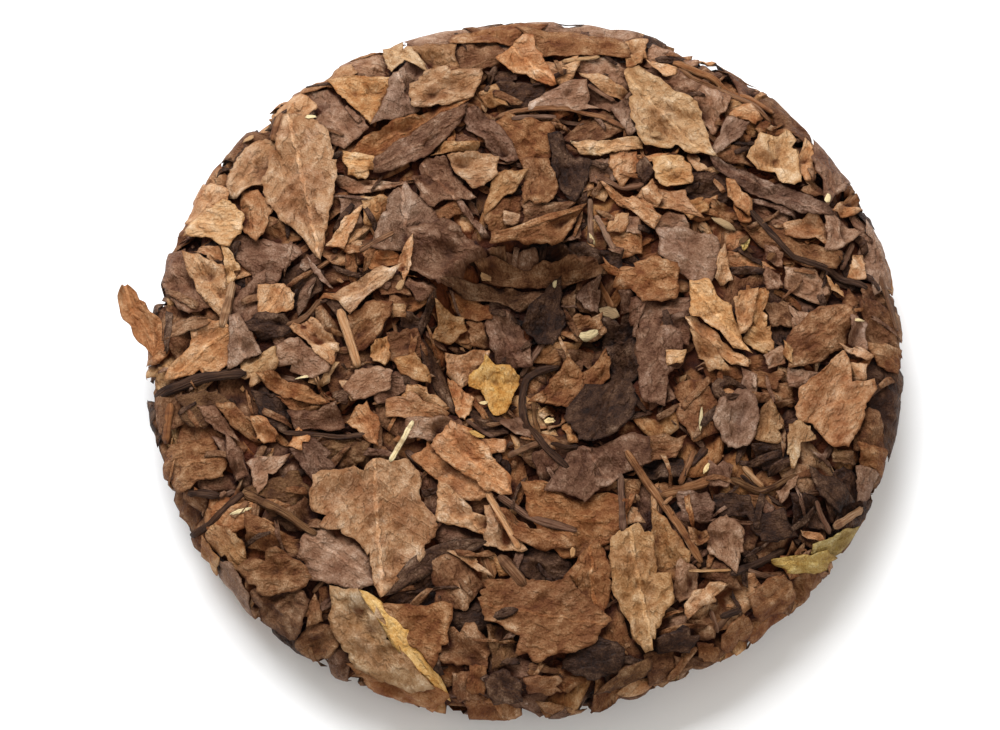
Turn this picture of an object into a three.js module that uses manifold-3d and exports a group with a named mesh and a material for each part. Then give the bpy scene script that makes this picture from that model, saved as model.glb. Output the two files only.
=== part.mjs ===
// A round cake of pressed white tea: whole dried leaves, torn pieces and stalks, compressed into one solid
// with a hollow in the middle of its upper side. Millimetres, +Z up, origin on the rest face under the
// middle of the cake, +Y away from the side that is nearest the viewer.
import * as THREE from "three";
import { mergeVertices } from "three/addons/utils/BufferGeometryUtils.js";
import Module from "manifold-3d";

// --- The cake's body ---
const RADIUS = 100; // mean radius at the girth
const GIRTH_HEIGHT = 13; // height of the widest place
const SHOULDER_RADIUS = 82; // where the top starts to turn down
const SHOULDER_HEIGHT = 25.5;
const CROWN_HEIGHT = 29; // height of the slightly domed top, over the hollow
const REST_RADIUS = 60; // the flat face it rests on
const HOLLOW = { x: 1.5, y: 2, floorRadius: 20, farRim: 27, nearRim: 34, depth: 12.5 };
// The outline's swell: waves round the cake, share of the radius, direction of a crest in degrees.
const OUTLINE_WAVES = [
  { waves: 2, share: 0.0111, crest: 55 },
  { waves: 3, share: 0.0031, crest: 22 },
  { waves: 4, share: 0.0025, crest: -29 },
  { waves: 5, share: 0.0016, crest: -17 },
  { waves: 6, share: 0.0014, crest: 22 },
];
const OUTLINE_START = 55; // radius from which the swell grows in
const LUMP_HEIGHT = 0.5; // uneven pressing of the surface
const LUMP_LENGTH = 34;
const CORE_INSET = 1.1; // the core lies this far under the mean surface of the leaves
const CORE_SIDES = 36;
const CORE_RING_STEP = 11;

// --- The leaves and stalks that show ---
const LEAF_ROOT = -2.6; // depth of a leaf's inner face under the mean surface
const LEAF_LIFT = { least: 0.1, most: 1.5 }; // a leaf's outer face over the mean surface
const LEAF_WAVE = 0.45; // height of a leaf's own waves
const LEAF_RAGGED = 0.09; // share by which a torn edge wanders
const BIG_LEAF = 22; // from this length a leaf has a ring of points inside its rim
const LEAF_SIDES = { big: 8, small: 6 };
const STALK_SIDES = 6;
const STALK_STEPS = 3;
// A leaf's outline. blunt: 0.3 nearly square, 0.5 oval, 1 pointed. lean: 0 even, 1 wide at its far end.
const FORMS = {
  blade: { blunt: 0.8, lean: 0 },
  torn: { blunt: 0.38, lean: 0.1 },
  square: { blunt: 0.22, lean: 0 },
  kite: { blunt: 0.9, lean: -0.35 },
  wedge: { blunt: 0.6, lean: -0.75 },
};
// The large leaves on the upper side: place of the middle, heading of the tip in degrees, length, width.
// Over the shoulder a place goes on along the surface. Later leaves stand prouder.
const TOP_LEAVES = [
  { at: [-4, 95], heading: -3, size: [55, 12], form: "blade" },
  { at: [-3, 20], heading: 0, size: [25, 9], form: "blade" },
  { at: [5, 25], heading: -5, size: [22, 7], form: "blade" },
  { at: [19, -21], heading: -85, size: [24, 15], form: "torn" },
  { at: [12, -51], heading: -10, size: [22, 14], form: "torn" },
  { at: [20, -37], heading: 50, size: [20, 14], form: "wedge" },
  { at: [-15, -39], heading: -35, size: [24, 13], form: "torn" },
  { at: [-16, -50], heading: -50, size: [17, 10], form: "torn" },
  { at: [9, -10], heading: 30, size: [15, 9], form: "torn" },
  { at: [-15, 8], heading: 60, size: [13, 12], form: "torn" },
  { at: [5, 9], heading: -80, size: [14, 9], form: "torn" },
  { at: [-22, 24], heading: -20, size: [18, 12], form: "torn" },
  { at: [-32, 77], heading: -85, size: [16, 11], form: "wedge" },
  { at: [-21, 75], heading: 10, size: [16, 9], form: "square" },
  { at: [-44, 76], heading: -60, size: [17, 13], form: "torn" },
  { at: [-58, 68], heading: -45, size: [20, 15], form: "torn" },
  { at: [-37, 92], heading: -60, size: [16, 10], form: "blade" },
  { at: [-30, 66], heading: 28, size: [24, 7], form: "torn" },
  { at: [-28, 58], heading: 35, size: [28, 7], form: "blade" },
  { at: [-10, 60], heading: -50, size: [22, 6], form: "blade" },
  { at: [0, 57], heading: 0, size: [14, 12], form: "torn" },
  { at: [12, 50], heading: -75, size: [17, 10], form: "torn" },
  { at: [22, 60], heading: 20, size: [16, 7], form: "torn" },
  { at: [8, 33], heading: 25, size: [20, 8], form: "wedge" },
  { at: [29, 38], heading: -38, size: [19, 7], form: "blade" },
  { at: [-22, 47], heading: -70, size: [14, 10], form: "blade" },
  { at: [-32, 37], heading: -80, size: [16, 13], form: "wedge" },
  { at: [-76, 51], heading: 60, size: [15, 10], form: "torn" },
  { at: [-84, 36], heading: 10, size: [16, 11], form: "torn" },
  { at: [-87, 47], heading: 55, size: [16, 9], form: "torn" },
  { at: [-71, 24], heading: -20, size: [17, 11], form: "torn" },
  { at: [-84, 18], heading: -60, size: [20, 9], form: "wedge" },
  { at: [-69, 11], heading: 50, size: [15, 12], form: "blade" },
  { at: [-55, -2], heading: -50, size: [14, 12], form: "torn" },
  { at: [-87, -3], heading: 40, size: [18, 13], form: "wedge" },
  { at: [-60, -16], heading: -25, size: [22, 8], form: "blade" },
  { at: [-84, -21], heading: -35, size: [16, 6], form: "blade" },
  { at: [-82, -30], heading: -20, size: [14, 9], form: "torn" },
  { at: [-88, -38], heading: -10, size: [18, 10], form: "torn" },
  { at: [-41, 15], heading: 28, size: [22, 7], form: "blade" },
  { at: [-41, -14], heading: 30, size: [14, 9], form: "torn" },
  { at: [-40, 4], heading: -60, size: [13, 11], form: "torn" },
  { at: [-42, -26], heading: -30, size: [12, 10], form: "torn" },
  { at: [-64, -66], heading: -10, size: [18, 12], form: "torn" },
  { at: [-67, -40], heading: -20, size: [15, 10], form: "torn" },
  { at: [-66, -56], heading: -30, size: [14, 8], form: "torn" },
  { at: [-61, -76], heading: -60, size: [14, 11], form: "wedge" },
  { at: [-25, -81], heading: -5, size: [14, 11], form: "square" },
  { at: [-20, -57], heading: -10, size: [16, 7], form: "torn" },
  { at: [17, -68], heading: -80, size: [16, 8], form: "blade" },
  { at: [28, -94], heading: 30, size: [18, 6], form: "blade" },
  { at: [-3, -100], heading: -3, size: [34, 7], form: "torn" },
  { at: [56, -24], heading: 0, size: [14, 11], form: "torn" },
  { at: [78, 1], heading: 35, size: [17, 10], form: "torn" },
  { at: [73, 17], heading: -50, size: [14, 9], form: "torn" },
  { at: [66, 44], heading: -28, size: [34, 8], form: "blade" },
  { at: [84, 52], heading: -50, size: [24, 12], form: "torn" },
  { at: [88, 45], heading: 50, size: [18, 7], form: "blade" },
  { at: [43, 26], heading: -30, size: [17, 14], form: "torn" },
  { at: [33, 16], heading: 0, size: [15, 12], form: "torn" },
  { at: [34, 0], heading: -30, size: [15, 12], form: "torn" },
  { at: [58, 7], heading: -75, size: [14, 7], form: "blade" },
  { at: [50, -3], heading: -40, size: [18, 7], form: "blade" },
  { at: [45, -74], heading: 35, size: [14, 10], form: "torn" },
  { at: [52, -58], heading: 70, size: [13, 11], form: "torn" },
  { at: [63, -73], heading: 20, size: [15, 11], form: "torn" },
  { at: [81, -57], heading: 30, size: [15, 8], form: "torn" },
  { at: [79, -41], heading: -50, size: [12, 9], form: "torn" },
  { at: [-17, -17], heading: -70, size: [14, 8], form: "wedge" },
  { at: [-8, -9], heading: -70, size: [17, 12], form: "torn" },
  { at: [67, 54], heading: -50, size: [16, 15], form: "torn" },
  { at: [50, 7], heading: -65, size: [23, 11], form: "torn" },
  { at: [82, -18], heading: 70, size: [27, 18], form: "square" },
  { at: [6, -79], heading: -10, size: [31, 17], form: "torn" },
  { at: [30, -70], heading: -80, size: [32, 16], form: "torn" },
  { at: [-42, -81], heading: -55, size: [26, 13], form: "wedge" },
  { at: [1, 84], heading: -55, size: [18, 10], form: "wedge" },
  { at: [38, 67], heading: -50, size: [29, 18], form: "kite" },
  { at: [-60, 46], heading: -78, size: [45, 20], form: "kite" },
  { at: [-41, -54], heading: -85, size: [34, 29], form: "square" },
];
// Stalks and rolled leaves on the upper side, from end to end, with the thickness.
const TOP_STALKS = [
  { from: [40, 83], to: [67, 69], thick: 3 },
  { from: [26, -34], to: [45.5, -65], thick: 2.6 },
  { from: [24.5, -40], to: [24.8, -56], thick: 2.2 },
  { from: [-99, -15.5], to: [-76, -11], thick: 3.5 },
  { from: [-77, 16], to: [-81, 3], thick: 3 },
  { from: [-49, 6], to: [-44, -9], thick: 3.2 },
  { from: [-94, -17], to: [-94.5, -29], thick: 3.2 },
  { from: [-73, -44], to: [-54, -56], thick: 2.6 },
  { from: [-36, -73], to: [-8, -60], thick: 4.2 },
  { from: [-48, -70], to: [-19, -97], thick: 4.6 },
  { from: [-8, 65], to: [27, 63], thick: 2.2 },
  { from: [60, 37], to: [90, 16], thick: 2.2 },
  { from: [35, -46], to: [47.6, -42], thick: 3 },
  { from: [53, -68], to: [68, -60], thick: 2.6 },
  { from: [81, -53], to: [91, -46.5], thick: 2.6 },
  { from: [-24, -4], to: [-18, -24], thick: 3.6 },
  { from: [-7, -47], to: [12, -57], thick: 2.4 },
  { from: [8, -4], to: [7, -31], thick: 2.4 },
];
// A leaf that sticks out of the edge on the left: the points of its middle line, width and thickness.
const STRAY_LEAF = {
  line: [[-88, -6, 14.5], [-97, 1, 17.5], [-101, 7, 19], [-105, 12, 19.5], [-106.5, 18, 20.5]],
  width: 7.5,
  thick: 1.6,
};

// --- The smaller leaves that fill the rest, by rule ---
const FILL_SEED = 41;
const FILL_START = 84; // they begin at the shoulder, and go on under the edge
const FILL_STEP = 27; // distance between neighbours
const FILL_RING_STEP = 17; // distance between rings of them
const FILL_GAP = 0.36; // share of both leaves' sizes that a filling leaf keeps away from a named one
const FILL_LENGTH = { least: 14, most: 24 };
const FILL_ASPECT = { least: 0.4, most: 0.75 };

const wasm = await Module();
wasm.setup();

const radians = THREE.MathUtils.degToRad;
const mix = THREE.MathUtils.lerp;
const ease = (t) => THREE.MathUtils.smoothstep(t, 0, 1);

/** A seeded source of numbers from 0 to 1. */
function draws(seed) {
  let state = seed;
  return () => {
    state = (state + 0x6d2b79f5) | 0;
    let t = Math.imul(state ^ (state >>> 15), 1 | state);
    t = (t + Math.imul(t ^ (t >>> 7), 61 | t)) ^ t;
    return ((t ^ (t >>> 14)) >>> 0) / 2 ** 32;
  };
}

/** A quarter ellipse of the section, round (r, GIRTH_HEIGHT), clockwise between two angles. */
function quarter(r, height, start, end) {
  return new THREE.EllipseCurve(r, GIRTH_HEIGHT, RADIUS - r, height, start, end, true);
}

// The section of a perfectly round cake: crown, shoulder, underside and rest face, one after the other.
const shoulder = quarter(SHOULDER_RADIUS, SHOULDER_HEIGHT - GIRTH_HEIGHT, Math.PI / 2, 0);
const underside = quarter(REST_RADIUS, GIRTH_HEIGHT, 0, -Math.PI / 2);
const GIRTH_WAY = SHOULDER_RADIUS + shoulder.getLength(); // way from the middle of the top to the girth
const REST_WAY = GIRTH_WAY + underside.getLength(); // and on to the rest face

/** Point and outward direction on one of the section's two quarter ellipses, at a share of its length. */
function onEllipse(curve, share) {
  const p = curve.getPointAt(Math.min(share, 1));
  const { aX, aY, xRadius, yRadius } = curve;
  const out = new THREE.Vector2((p.x - aX) / xRadius ** 2, (p.y - aY) / yRadius ** 2);
  return { r: p.x, z: p.y, out: out.normalize() };
}

/** The round cake's section, `way` mm out from the middle of the top, over the edge and back under it. */
function section(way) {
  if (way <= SHOULDER_RADIUS) {
    const z = SHOULDER_HEIGHT + (CROWN_HEIGHT - SHOULDER_HEIGHT) * (1 - (way / SHOULDER_RADIUS) ** 2);
    return { r: way, z, out: new THREE.Vector2(0, 1) };
  }
  if (way <= GIRTH_WAY) return onEllipse(shoulder, (way - SHOULDER_RADIUS) / (GIRTH_WAY - SHOULDER_RADIUS));
  if (way <= REST_WAY) return onEllipse(underside, (way - GIRTH_WAY) / (REST_WAY - GIRTH_WAY));
  return { r: Math.max(REST_RADIUS - (way - REST_WAY), 0), z: 0, out: new THREE.Vector2(0, -1) };
}

/** Depth of the hollow under the crown: its far wall is steep and its near wall gentle. */
function hollowDepth(x, y) {
  const dx = x - HOLLOW.x;
  const dy = y - HOLLOW.y;
  const distance = Math.hypot(dx, dy);
  const towardsFar = distance > 0 ? dy / distance : 0;
  const rim = (HOLLOW.farRim + HOLLOW.nearRim) / 2 + ((HOLLOW.farRim - HOLLOW.nearRim) / 2) * towardsFar;
  return HOLLOW.depth * ease((rim - distance) / (rim - HOLLOW.floorRadius));
}

/** Uneven pressing: a few crossing waves, from -LUMP_HEIGHT to LUMP_HEIGHT. */
function lump(x, y) {
  const k = (2 * Math.PI) / LUMP_LENGTH;
  return LUMP_HEIGHT * Math.sin(k * x + 1.1 * Math.cos(0.6 * k * y)) * Math.cos(0.8 * k * y + 0.9);
}

/** A point of the real cake: `way` out from the middle at `angle`, `lift` mm out of the surface. */
function surfacePoint(way, angle, lift) {
  const at = section(way);
  const reach = ease((at.r - OUTLINE_START) / (RADIUS - OUTLINE_START));
  const swell = OUTLINE_WAVES.reduce(
    (sum, w) => sum + w.share * Math.cos(w.waves * (angle - radians(w.crest))), 0);
  const r = at.r * (1 + swell * reach) + at.out.x * lift;
  const x = r * Math.cos(angle);
  const y = r * Math.sin(angle);
  const onTop = way < SHOULDER_RADIUS;
  const pressed = way < REST_WAY ? lump(x, y) : 0;
  const z = at.z + at.out.y * (lift + pressed) - (onTop ? hollowDepth(x, y) : 0);
  return new THREE.Vector3(x, y, z);
}

/** A sheet's place on the cake: its own (along, across) becomes a way and an angle. */
function placer(way, angle, heading) {
  const c = Math.cos(radians(heading));
  const s = Math.sin(radians(heading));
  if (way < GIRTH_WAY) {
    // On top and over the shoulder: flat on the plan, which goes on along the surface.
    const x0 = way * Math.cos(angle);
    const y0 = way * Math.sin(angle);
    return (along, across) => {
      const x = x0 + along * c - across * s;
      const y = y0 + along * s + across * c;
      return [Math.hypot(x, y), Math.atan2(y, x)];
    };
  }
  // Under the girth: along the section and round the cake, at true size.
  return (along, across) => {
    const outWay = way + along * c - across * s;
    return [outWay, angle + (along * s + across * c) / Math.max(section(outWay).r, 1)];
  };
}

/** Joins the corners of a three.js shape that fall together and makes a solid of it. */
function solidOf(geometry) {
  geometry.deleteAttribute("normal");
  geometry.deleteAttribute("uv");
  const merged = mergeVertices(geometry, 1e-4);
  const corners = merged.index.array;
  const kept = [];
  for (let i = 0; i < corners.length; i += 3) {
    const [a, b, c] = corners.slice(i, i + 3);
    if (a !== b && b !== c && c !== a) kept.push(a, b, c);
  }
  const mesh = new wasm.Mesh({
    numProp: 3,
    vertProperties: merged.attributes.position.array,
    triVerts: new Uint32Array(kept),
  });
  return new wasm.Manifold(mesh);
}

/** Moves every corner of a geometry to where `place` says. */
function bend(geometry, place) {
  const position = geometry.attributes.position;
  for (let i = 0; i < position.count; i++) {
    const p = place(position.getX(i), position.getY(i), position.getZ(i));
    position.setXYZ(i, p.x, p.y, p.z);
  }
  return geometry;
}

/** The pressed mass under the leaves: the cake's section turned round the axis, then made uneven. */
function makeCore() {
  const length = REST_WAY + REST_RADIUS;
  const rings = Math.round(length / CORE_RING_STEP);
  const ways = Array.from({ length: rings + 1 }, (_, i) => (i * length) / rings);
  // Each ring's way travels in the height of the lathe's profile, and comes back out in the bend.
  const profile = ways.map((way, i) => new THREE.Vector2(i === 0 || i === rings ? 0 : 1, -way));
  const disc = new THREE.LatheGeometry(profile, CORE_SIDES);
  return solidOf(bend(disc, (x, minusWay, z) => {
    const way = -minusWay;
    const inset = CORE_INSET * (1 - ease((way - REST_WAY) / CORE_RING_STEP));
    return surfacePoint(way, Math.atan2(-x, z), -inset);
  }));
}

/** A thin disc of radius 1 with an even top and bottom, split alike: y is +1 on the outer face, -1 inside. */
function thinDisc(sides, ringed) {
  const radii = ringed ? [0, 0.55, 1] : [0, 1];
  const inner = radii.map((r) => new THREE.Vector2(r, -1));
  const outer = radii.map((r) => new THREE.Vector2(r, 1)).reverse();
  return new THREE.LatheGeometry([...inner, ...outer], sides);
}

/** One leaf, laid on the cake: a wavy sheet with a ragged outline, its root sunk in the core. */
function makeLeaf({ way, angle, heading, size, form, lift }, random) {
  const [length, width] = size;
  const { blunt, lean } = FORMS[form];
  const big = length >= BIG_LEAF;
  const sides = big ? LEAF_SIDES.big : LEAF_SIDES.small;
  const ragged = Array.from({ length: sides }, () => 1 + LEAF_RAGGED * (2 * random() - 1));
  const phase = 2 * Math.PI * random();
  const turn = random();
  const place = placer(way, angle, heading);
  return solidOf(bend(thinDisc(sides, big), (x, face, z) => {
    const from = Math.hypot(x, z);
    const spoke = Math.round((Math.atan2(x, z) / (2 * Math.PI)) * sides + sides) % sides;
    const a = (2 * Math.PI * (spoke + turn)) / sides;
    const fall = Math.sign(Math.sin(a)) * Math.abs(Math.sin(a)) ** (2 * blunt) * (1 + lean * Math.cos(a));
    const along = 0.5 * length * from * ragged[spoke] * Math.cos(a);
    const across = 0.5 * width * from * ragged[spoke] * fall;
    const wave = LEAF_WAVE * Math.sin(phase + (5 * along) / length + (4 * across) / width);
    const [w, t] = place(along, across);
    return surfacePoint(w, t, face > 0 ? lift + wave : LEAF_ROOT);
  }));
}

/** A round stalk along a path: a many-sided section pushed along a smooth curve. */
function makeStalk(points, thick) {
  const corners = Array.from({ length: STALK_SIDES }, (_, i) => {
    const a = (2 * Math.PI * i) / STALK_SIDES;
    return new THREE.Vector2((thick / 2) * Math.cos(a), (thick / 2) * Math.sin(a));
  });
  const extrudePath = new THREE.CatmullRomCurve3(points);
  const settings = { extrudePath, steps: STALK_STEPS, bevelEnabled: false };
  return solidOf(new THREE.ExtrudeGeometry(new THREE.Shape(corners), settings));
}

/** A stalk that lies on the cake between two places, a third of it over the leaves. */
function makeTopStalk({ from, to, thick }) {
  const points = Array.from({ length: STALK_STEPS + 1 }, (_, i) => {
    const x = mix(from[0], to[0], i / STALK_STEPS);
    const y = mix(from[1], to[1], i / STALK_STEPS);
    return surfacePoint(Math.hypot(x, y), Math.atan2(y, x), LEAF_LIFT.most - thick * 0.12);
  });
  return makeStalk(points, thick);
}

/** The leaf that sticks out: a flat strip along its line. */
function makeStrayLeaf() {
  const { line, width, thick } = STRAY_LEAF;
  const extrudePath = new THREE.CatmullRomCurve3(line.map((p) => new THREE.Vector3(...p)));
  const corners = [[-1, -1], [1, -1], [1, 1], [-1, 1]];
  const outline = corners.map(([a, b]) => new THREE.Vector2((a * thick) / 2, (b * width) / 2));
  const settings = { extrudePath, steps: line.length, bevelEnabled: false };
  return solidOf(new THREE.ExtrudeGeometry(new THREE.Shape(outline), settings));
}

/** Places of the filling leaves: rings round the cake, each with evenly spread leaves, drawn uneven. */
function fillLeaves(random) {
  const leaves = [];
  for (let way = FILL_START; way < REST_WAY; way += FILL_RING_STEP) {
    const count = Math.max(Math.round((2 * Math.PI * section(way).r) / FILL_STEP), 1);
    const first = random();
    for (let i = 0; i < count; i++) {
      const angle = (2 * Math.PI * (i + first + 0.35 * (random() - 0.5))) / count;
      const length = mix(FILL_LENGTH.least, FILL_LENGTH.most, random() ** 1.5);
      const width = length * mix(FILL_ASPECT.least, FILL_ASPECT.most, random());
      const form = ["torn", "torn", "blade", "wedge", "square"][Math.floor(5 * random())];
      const lift = mix(LEAF_LIFT.least, LEAF_LIFT.most, 0.6 * random());
      leaves.push({ way, angle, heading: 360 * random(), size: [length, width], form, lift });
    }
  }
  return leaves;
}

/** True where no named leaf already covers the place. */
function isOpen(leaf) {
  const x = leaf.way * Math.cos(leaf.angle);
  const y = leaf.way * Math.sin(leaf.angle);
  return TOP_LEAVES.every(({ at, size }) => {
    const reach = FILL_GAP * (size[0] + size[1]) * 0.5 + FILL_GAP * leaf.size[1];
    return Math.hypot(x - at[0], y - at[1]) > reach;
  });
}

/** Everything fused to one piece and cut flat to stand on. Sealed pockets are filled, loose scraps dropped. */
function makeCake() {
  const random = draws(FILL_SEED);
  const filling = fillLeaves(random).filter(isOpen).map((leaf) => makeLeaf(leaf, random));
  const named = TOP_LEAVES.map(({ at: [x, y], ...leaf }, i) => {
    const lift = mix(LEAF_LIFT.least, LEAF_LIFT.most, 0.5 + (0.5 * i) / TOP_LEAVES.length);
    return makeLeaf({ ...leaf, way: Math.hypot(x, y), angle: Math.atan2(y, x), lift }, random);
  });
  const pieces = [...filling, ...named, ...TOP_STALKS.map(makeTopStalk), makeStrayLeaf()];
  const block = new THREE.BoxGeometry(4 * RADIUS, 4 * RADIUS, RADIUS);
  const floor = solidOf(block.translate(0, 0, -RADIUS / 2));
  const fused = pieces.reduce((cake, piece) => cake.add(piece), makeCore()).subtract(floor);
  return fused.decompose().sort((a, b) => b.volume() - a.volume())[0];
}

/** A three.js mesh of a finished solid. */
function meshOf(solid, name, material) {
  const { vertProperties, triVerts } = solid.getMesh();
  const geometry = new THREE.BufferGeometry();
  geometry.setAttribute("position", new THREE.BufferAttribute(vertProperties, 3));
  geometry.setIndex(new THREE.BufferAttribute(triVerts, 1));
  geometry.computeVertexNormals();
  const mesh = new THREE.Mesh(geometry, material);
  mesh.name = name;
  return mesh;
}

const driedLeaf = new THREE.MeshStandardMaterial({ color: 0x78563d, roughness: 0.85, metalness: 0 });

const teaCake = new THREE.Group();
teaCake.add(meshOf(makeCake(), "tea_cake", driedLeaf));

export default teaCake;
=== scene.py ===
"""A round cake of pressed white tea: dried leaves, torn pieces and stalks laid one over another.

Every leaf is a thin closed sheet. It is laid on a height map of what is already there, so that leaves
overlap without crossing, and the finished pile is levelled back to the cake's own surface. Lengths are
millimetres until a mesh is made.
"""
import math
from functools import lru_cache

import bpy
import numpy as np
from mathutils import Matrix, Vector


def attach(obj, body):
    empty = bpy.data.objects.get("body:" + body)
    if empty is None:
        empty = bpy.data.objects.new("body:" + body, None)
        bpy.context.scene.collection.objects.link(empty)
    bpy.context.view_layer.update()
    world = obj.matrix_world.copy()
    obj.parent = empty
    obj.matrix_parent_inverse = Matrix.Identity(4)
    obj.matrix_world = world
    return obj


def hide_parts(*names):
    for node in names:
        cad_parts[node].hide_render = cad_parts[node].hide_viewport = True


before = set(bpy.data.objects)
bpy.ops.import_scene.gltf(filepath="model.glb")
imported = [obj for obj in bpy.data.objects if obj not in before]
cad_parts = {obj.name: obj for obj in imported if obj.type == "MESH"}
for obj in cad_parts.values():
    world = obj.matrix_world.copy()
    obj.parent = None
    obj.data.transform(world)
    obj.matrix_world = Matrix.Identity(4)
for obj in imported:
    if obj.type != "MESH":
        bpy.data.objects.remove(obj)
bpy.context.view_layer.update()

bl_info = {
    "name": "Pressed White Tea Cake",
    "version": (1, 0, 0),
    "blender": (4, 5, 0),
    "location": "View3D > Sidebar > Tea Cake",
    "description": "Lays a round cake of pressed white tea leaves over its solid",
    "category": "Object",
}

NODE = "tea_cake"
BODY = "root"
MM = 0.001

# --- The cake's body, as its solid has it ---
RADIUS = 100.0
GIRTH_HEIGHT = 13.0
SHOULDER_RADIUS = 82.0
SHOULDER_HEIGHT = 25.5
CROWN_HEIGHT = 29.0
REST_RADIUS = 60.0
HOLLOW_X, HOLLOW_Y = 1.5, 2.0
HOLLOW_FLOOR, HOLLOW_FAR_RIM, HOLLOW_NEAR_RIM, HOLLOW_DEPTH = 20.0, 27.0, 34.0, 12.5
OUTLINE_WAVES = ((2, 0.0111, 55), (3, 0.0031, 22), (4, 0.0025, -29), (5, 0.0016, -17), (6, 0.0014, 22))
OUTLINE_START = 55.0
LUMP_HEIGHT = 0.5
LUMP_LENGTH = 34.0

# --- The height map that leaves are laid on ---
CELL = 0.4
MAP_HALF = 126.0
MAP_SIDE = int(2 * MAP_HALF / CELL)
LEVEL_REACH = 12  # cells of the blur that levels the pile
CLOSE_REACH = 4  # cells of the blur that says how deep a place lies among its neighbours
LEVEL_LIFT = 0.35  # mean height of the finished surface over the cake's own
PRESS_UP, PRESS_DOWN = 2.5, 4.0  # limits of how far leaves stand out and lie deep
SEAM_WAY = 88.0  # from here out, one side's map goes on with the other's
FLAT_RUN = 14.0  # way over which the underside turns into the flat rest face
FLAT_HARDNESS = 2.2  # how sharply a lift is cut off at the rest face
HIDDEN_BELOW = 0.12  # a shape that is covered deeper than this all over is left out

# --- The core ---
CORE_ROWS, CORE_AROUND = 180, 340
CORE_DEPTH = 0.8  # share of the pile's height that the core lies below its top
CORE_DROP = 0.25
CORE_GRAIN = 0.35
CORE_POLE_LIFT = -2.0
CORE_TURN_BACK = 20.0  # the core changes to the underside's map this far before the rest face

# --- How one leaf lies ---
LEAF_CRUMPLE = 0.9
CREST_SHARE, CREST_MOST = 0.19, 2.8  # height of broad crumples, as a share of the width and at most
CREST_LEVEL = 0.75  # share of that height that lies flat, so that only the crests stand up
FINE_CRUMPLES = (2.4, 4.6)  # lengths of the fine crumples
RIM_PRESS = 0.75  # how much flatter a leaf is at its rim
RIM_PRESS_WIDTH = 14.0  # a narrower leaf is pressed less at its rim
RIM_STAND = 0.12  # how far a rim stands clear of what is under it
VEIN_RISE = 0.2
WALL_MARGIN = 12.0  # sheets bridge the hollow's wall out to this far past its rim
WALL_STIFFNESS = 3  # further cells that they bridge there
WOBBLE = 0.02  # share of its radius by which an outline swells and shrinks
SWELLS = (3, 5, 8)  # slow waves round an outline
TEETH_SHORT, TEETH_LONG = 7, 12  # outline points to each wave of the teeth
TEAR_DEPTH = (0.6, 2.2)
NAMED_STEP, NAMED_TEETH, NAMED_RING = 1.0, 0.3, 1.25  # named leaves: point spacing, teeth, width of a ring
FEWEST_TEARS, TEAR_AREA = 1.6, 160.0  # bound of the draw of tears, and the area that adds one to it
FILL_TEETH = 0.25
FILL_TORN_LENGTH = 14  # longer filling leaves have a tear
FILL_CRUMPLE = (0.5, 1.3)
PHASE = (0, 6)  # where a wave may start, in radians

# Outlines in shares of half the length and half the width. The tip is at (1, 0).
FORMS = {
    "blade": ((-1, 0), (-0.6, 0.62), (0, 1), (0.55, 0.7), (1, 0), (0.5, -0.7), (0, -1), (-0.6, -0.62)),
    "kite": ((-1, 0.1), (-0.7, 0.75), (-0.25, 1), (0.4, 0.4), (1, 0), (0.3, -0.5), (-0.35, -1),
             (-0.85, -0.5)),
    "wedge": ((-1, 0.7), (-0.7, 1), (0, 0.55), (1, 0.08), (0.1, -0.5), (-0.8, -1), (-0.9, -0.2)),
    "square": ((-0.95, 0.9), (0, 0.85), (0.9, 1), (1, -0.1), (0.85, -0.95), (-0.1, -0.9), (-0.95, -0.95)),
    "torn": ((-1, 0.2), (-0.55, 0.95), (0.35, 0.8), (0.95, 0.45), (0.8, -0.6), (0.1, -1), (-0.7, -0.75)),
    "strip": ((-1, 0.5), (-0.9, 1), (0.95, 0.8), (1, -0.3), (0.3, -1), (-0.95, -0.8)),
}
VEINS = 0.24  # side veins for each millimetre along a leaf
VEIN_SLANT = 0.85
RIBBED = {"blade": 1.0, "kite": 1.0, "wedge": 0.8, "square": 0.5, "torn": 0.45, "strip": 0.2}

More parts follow.
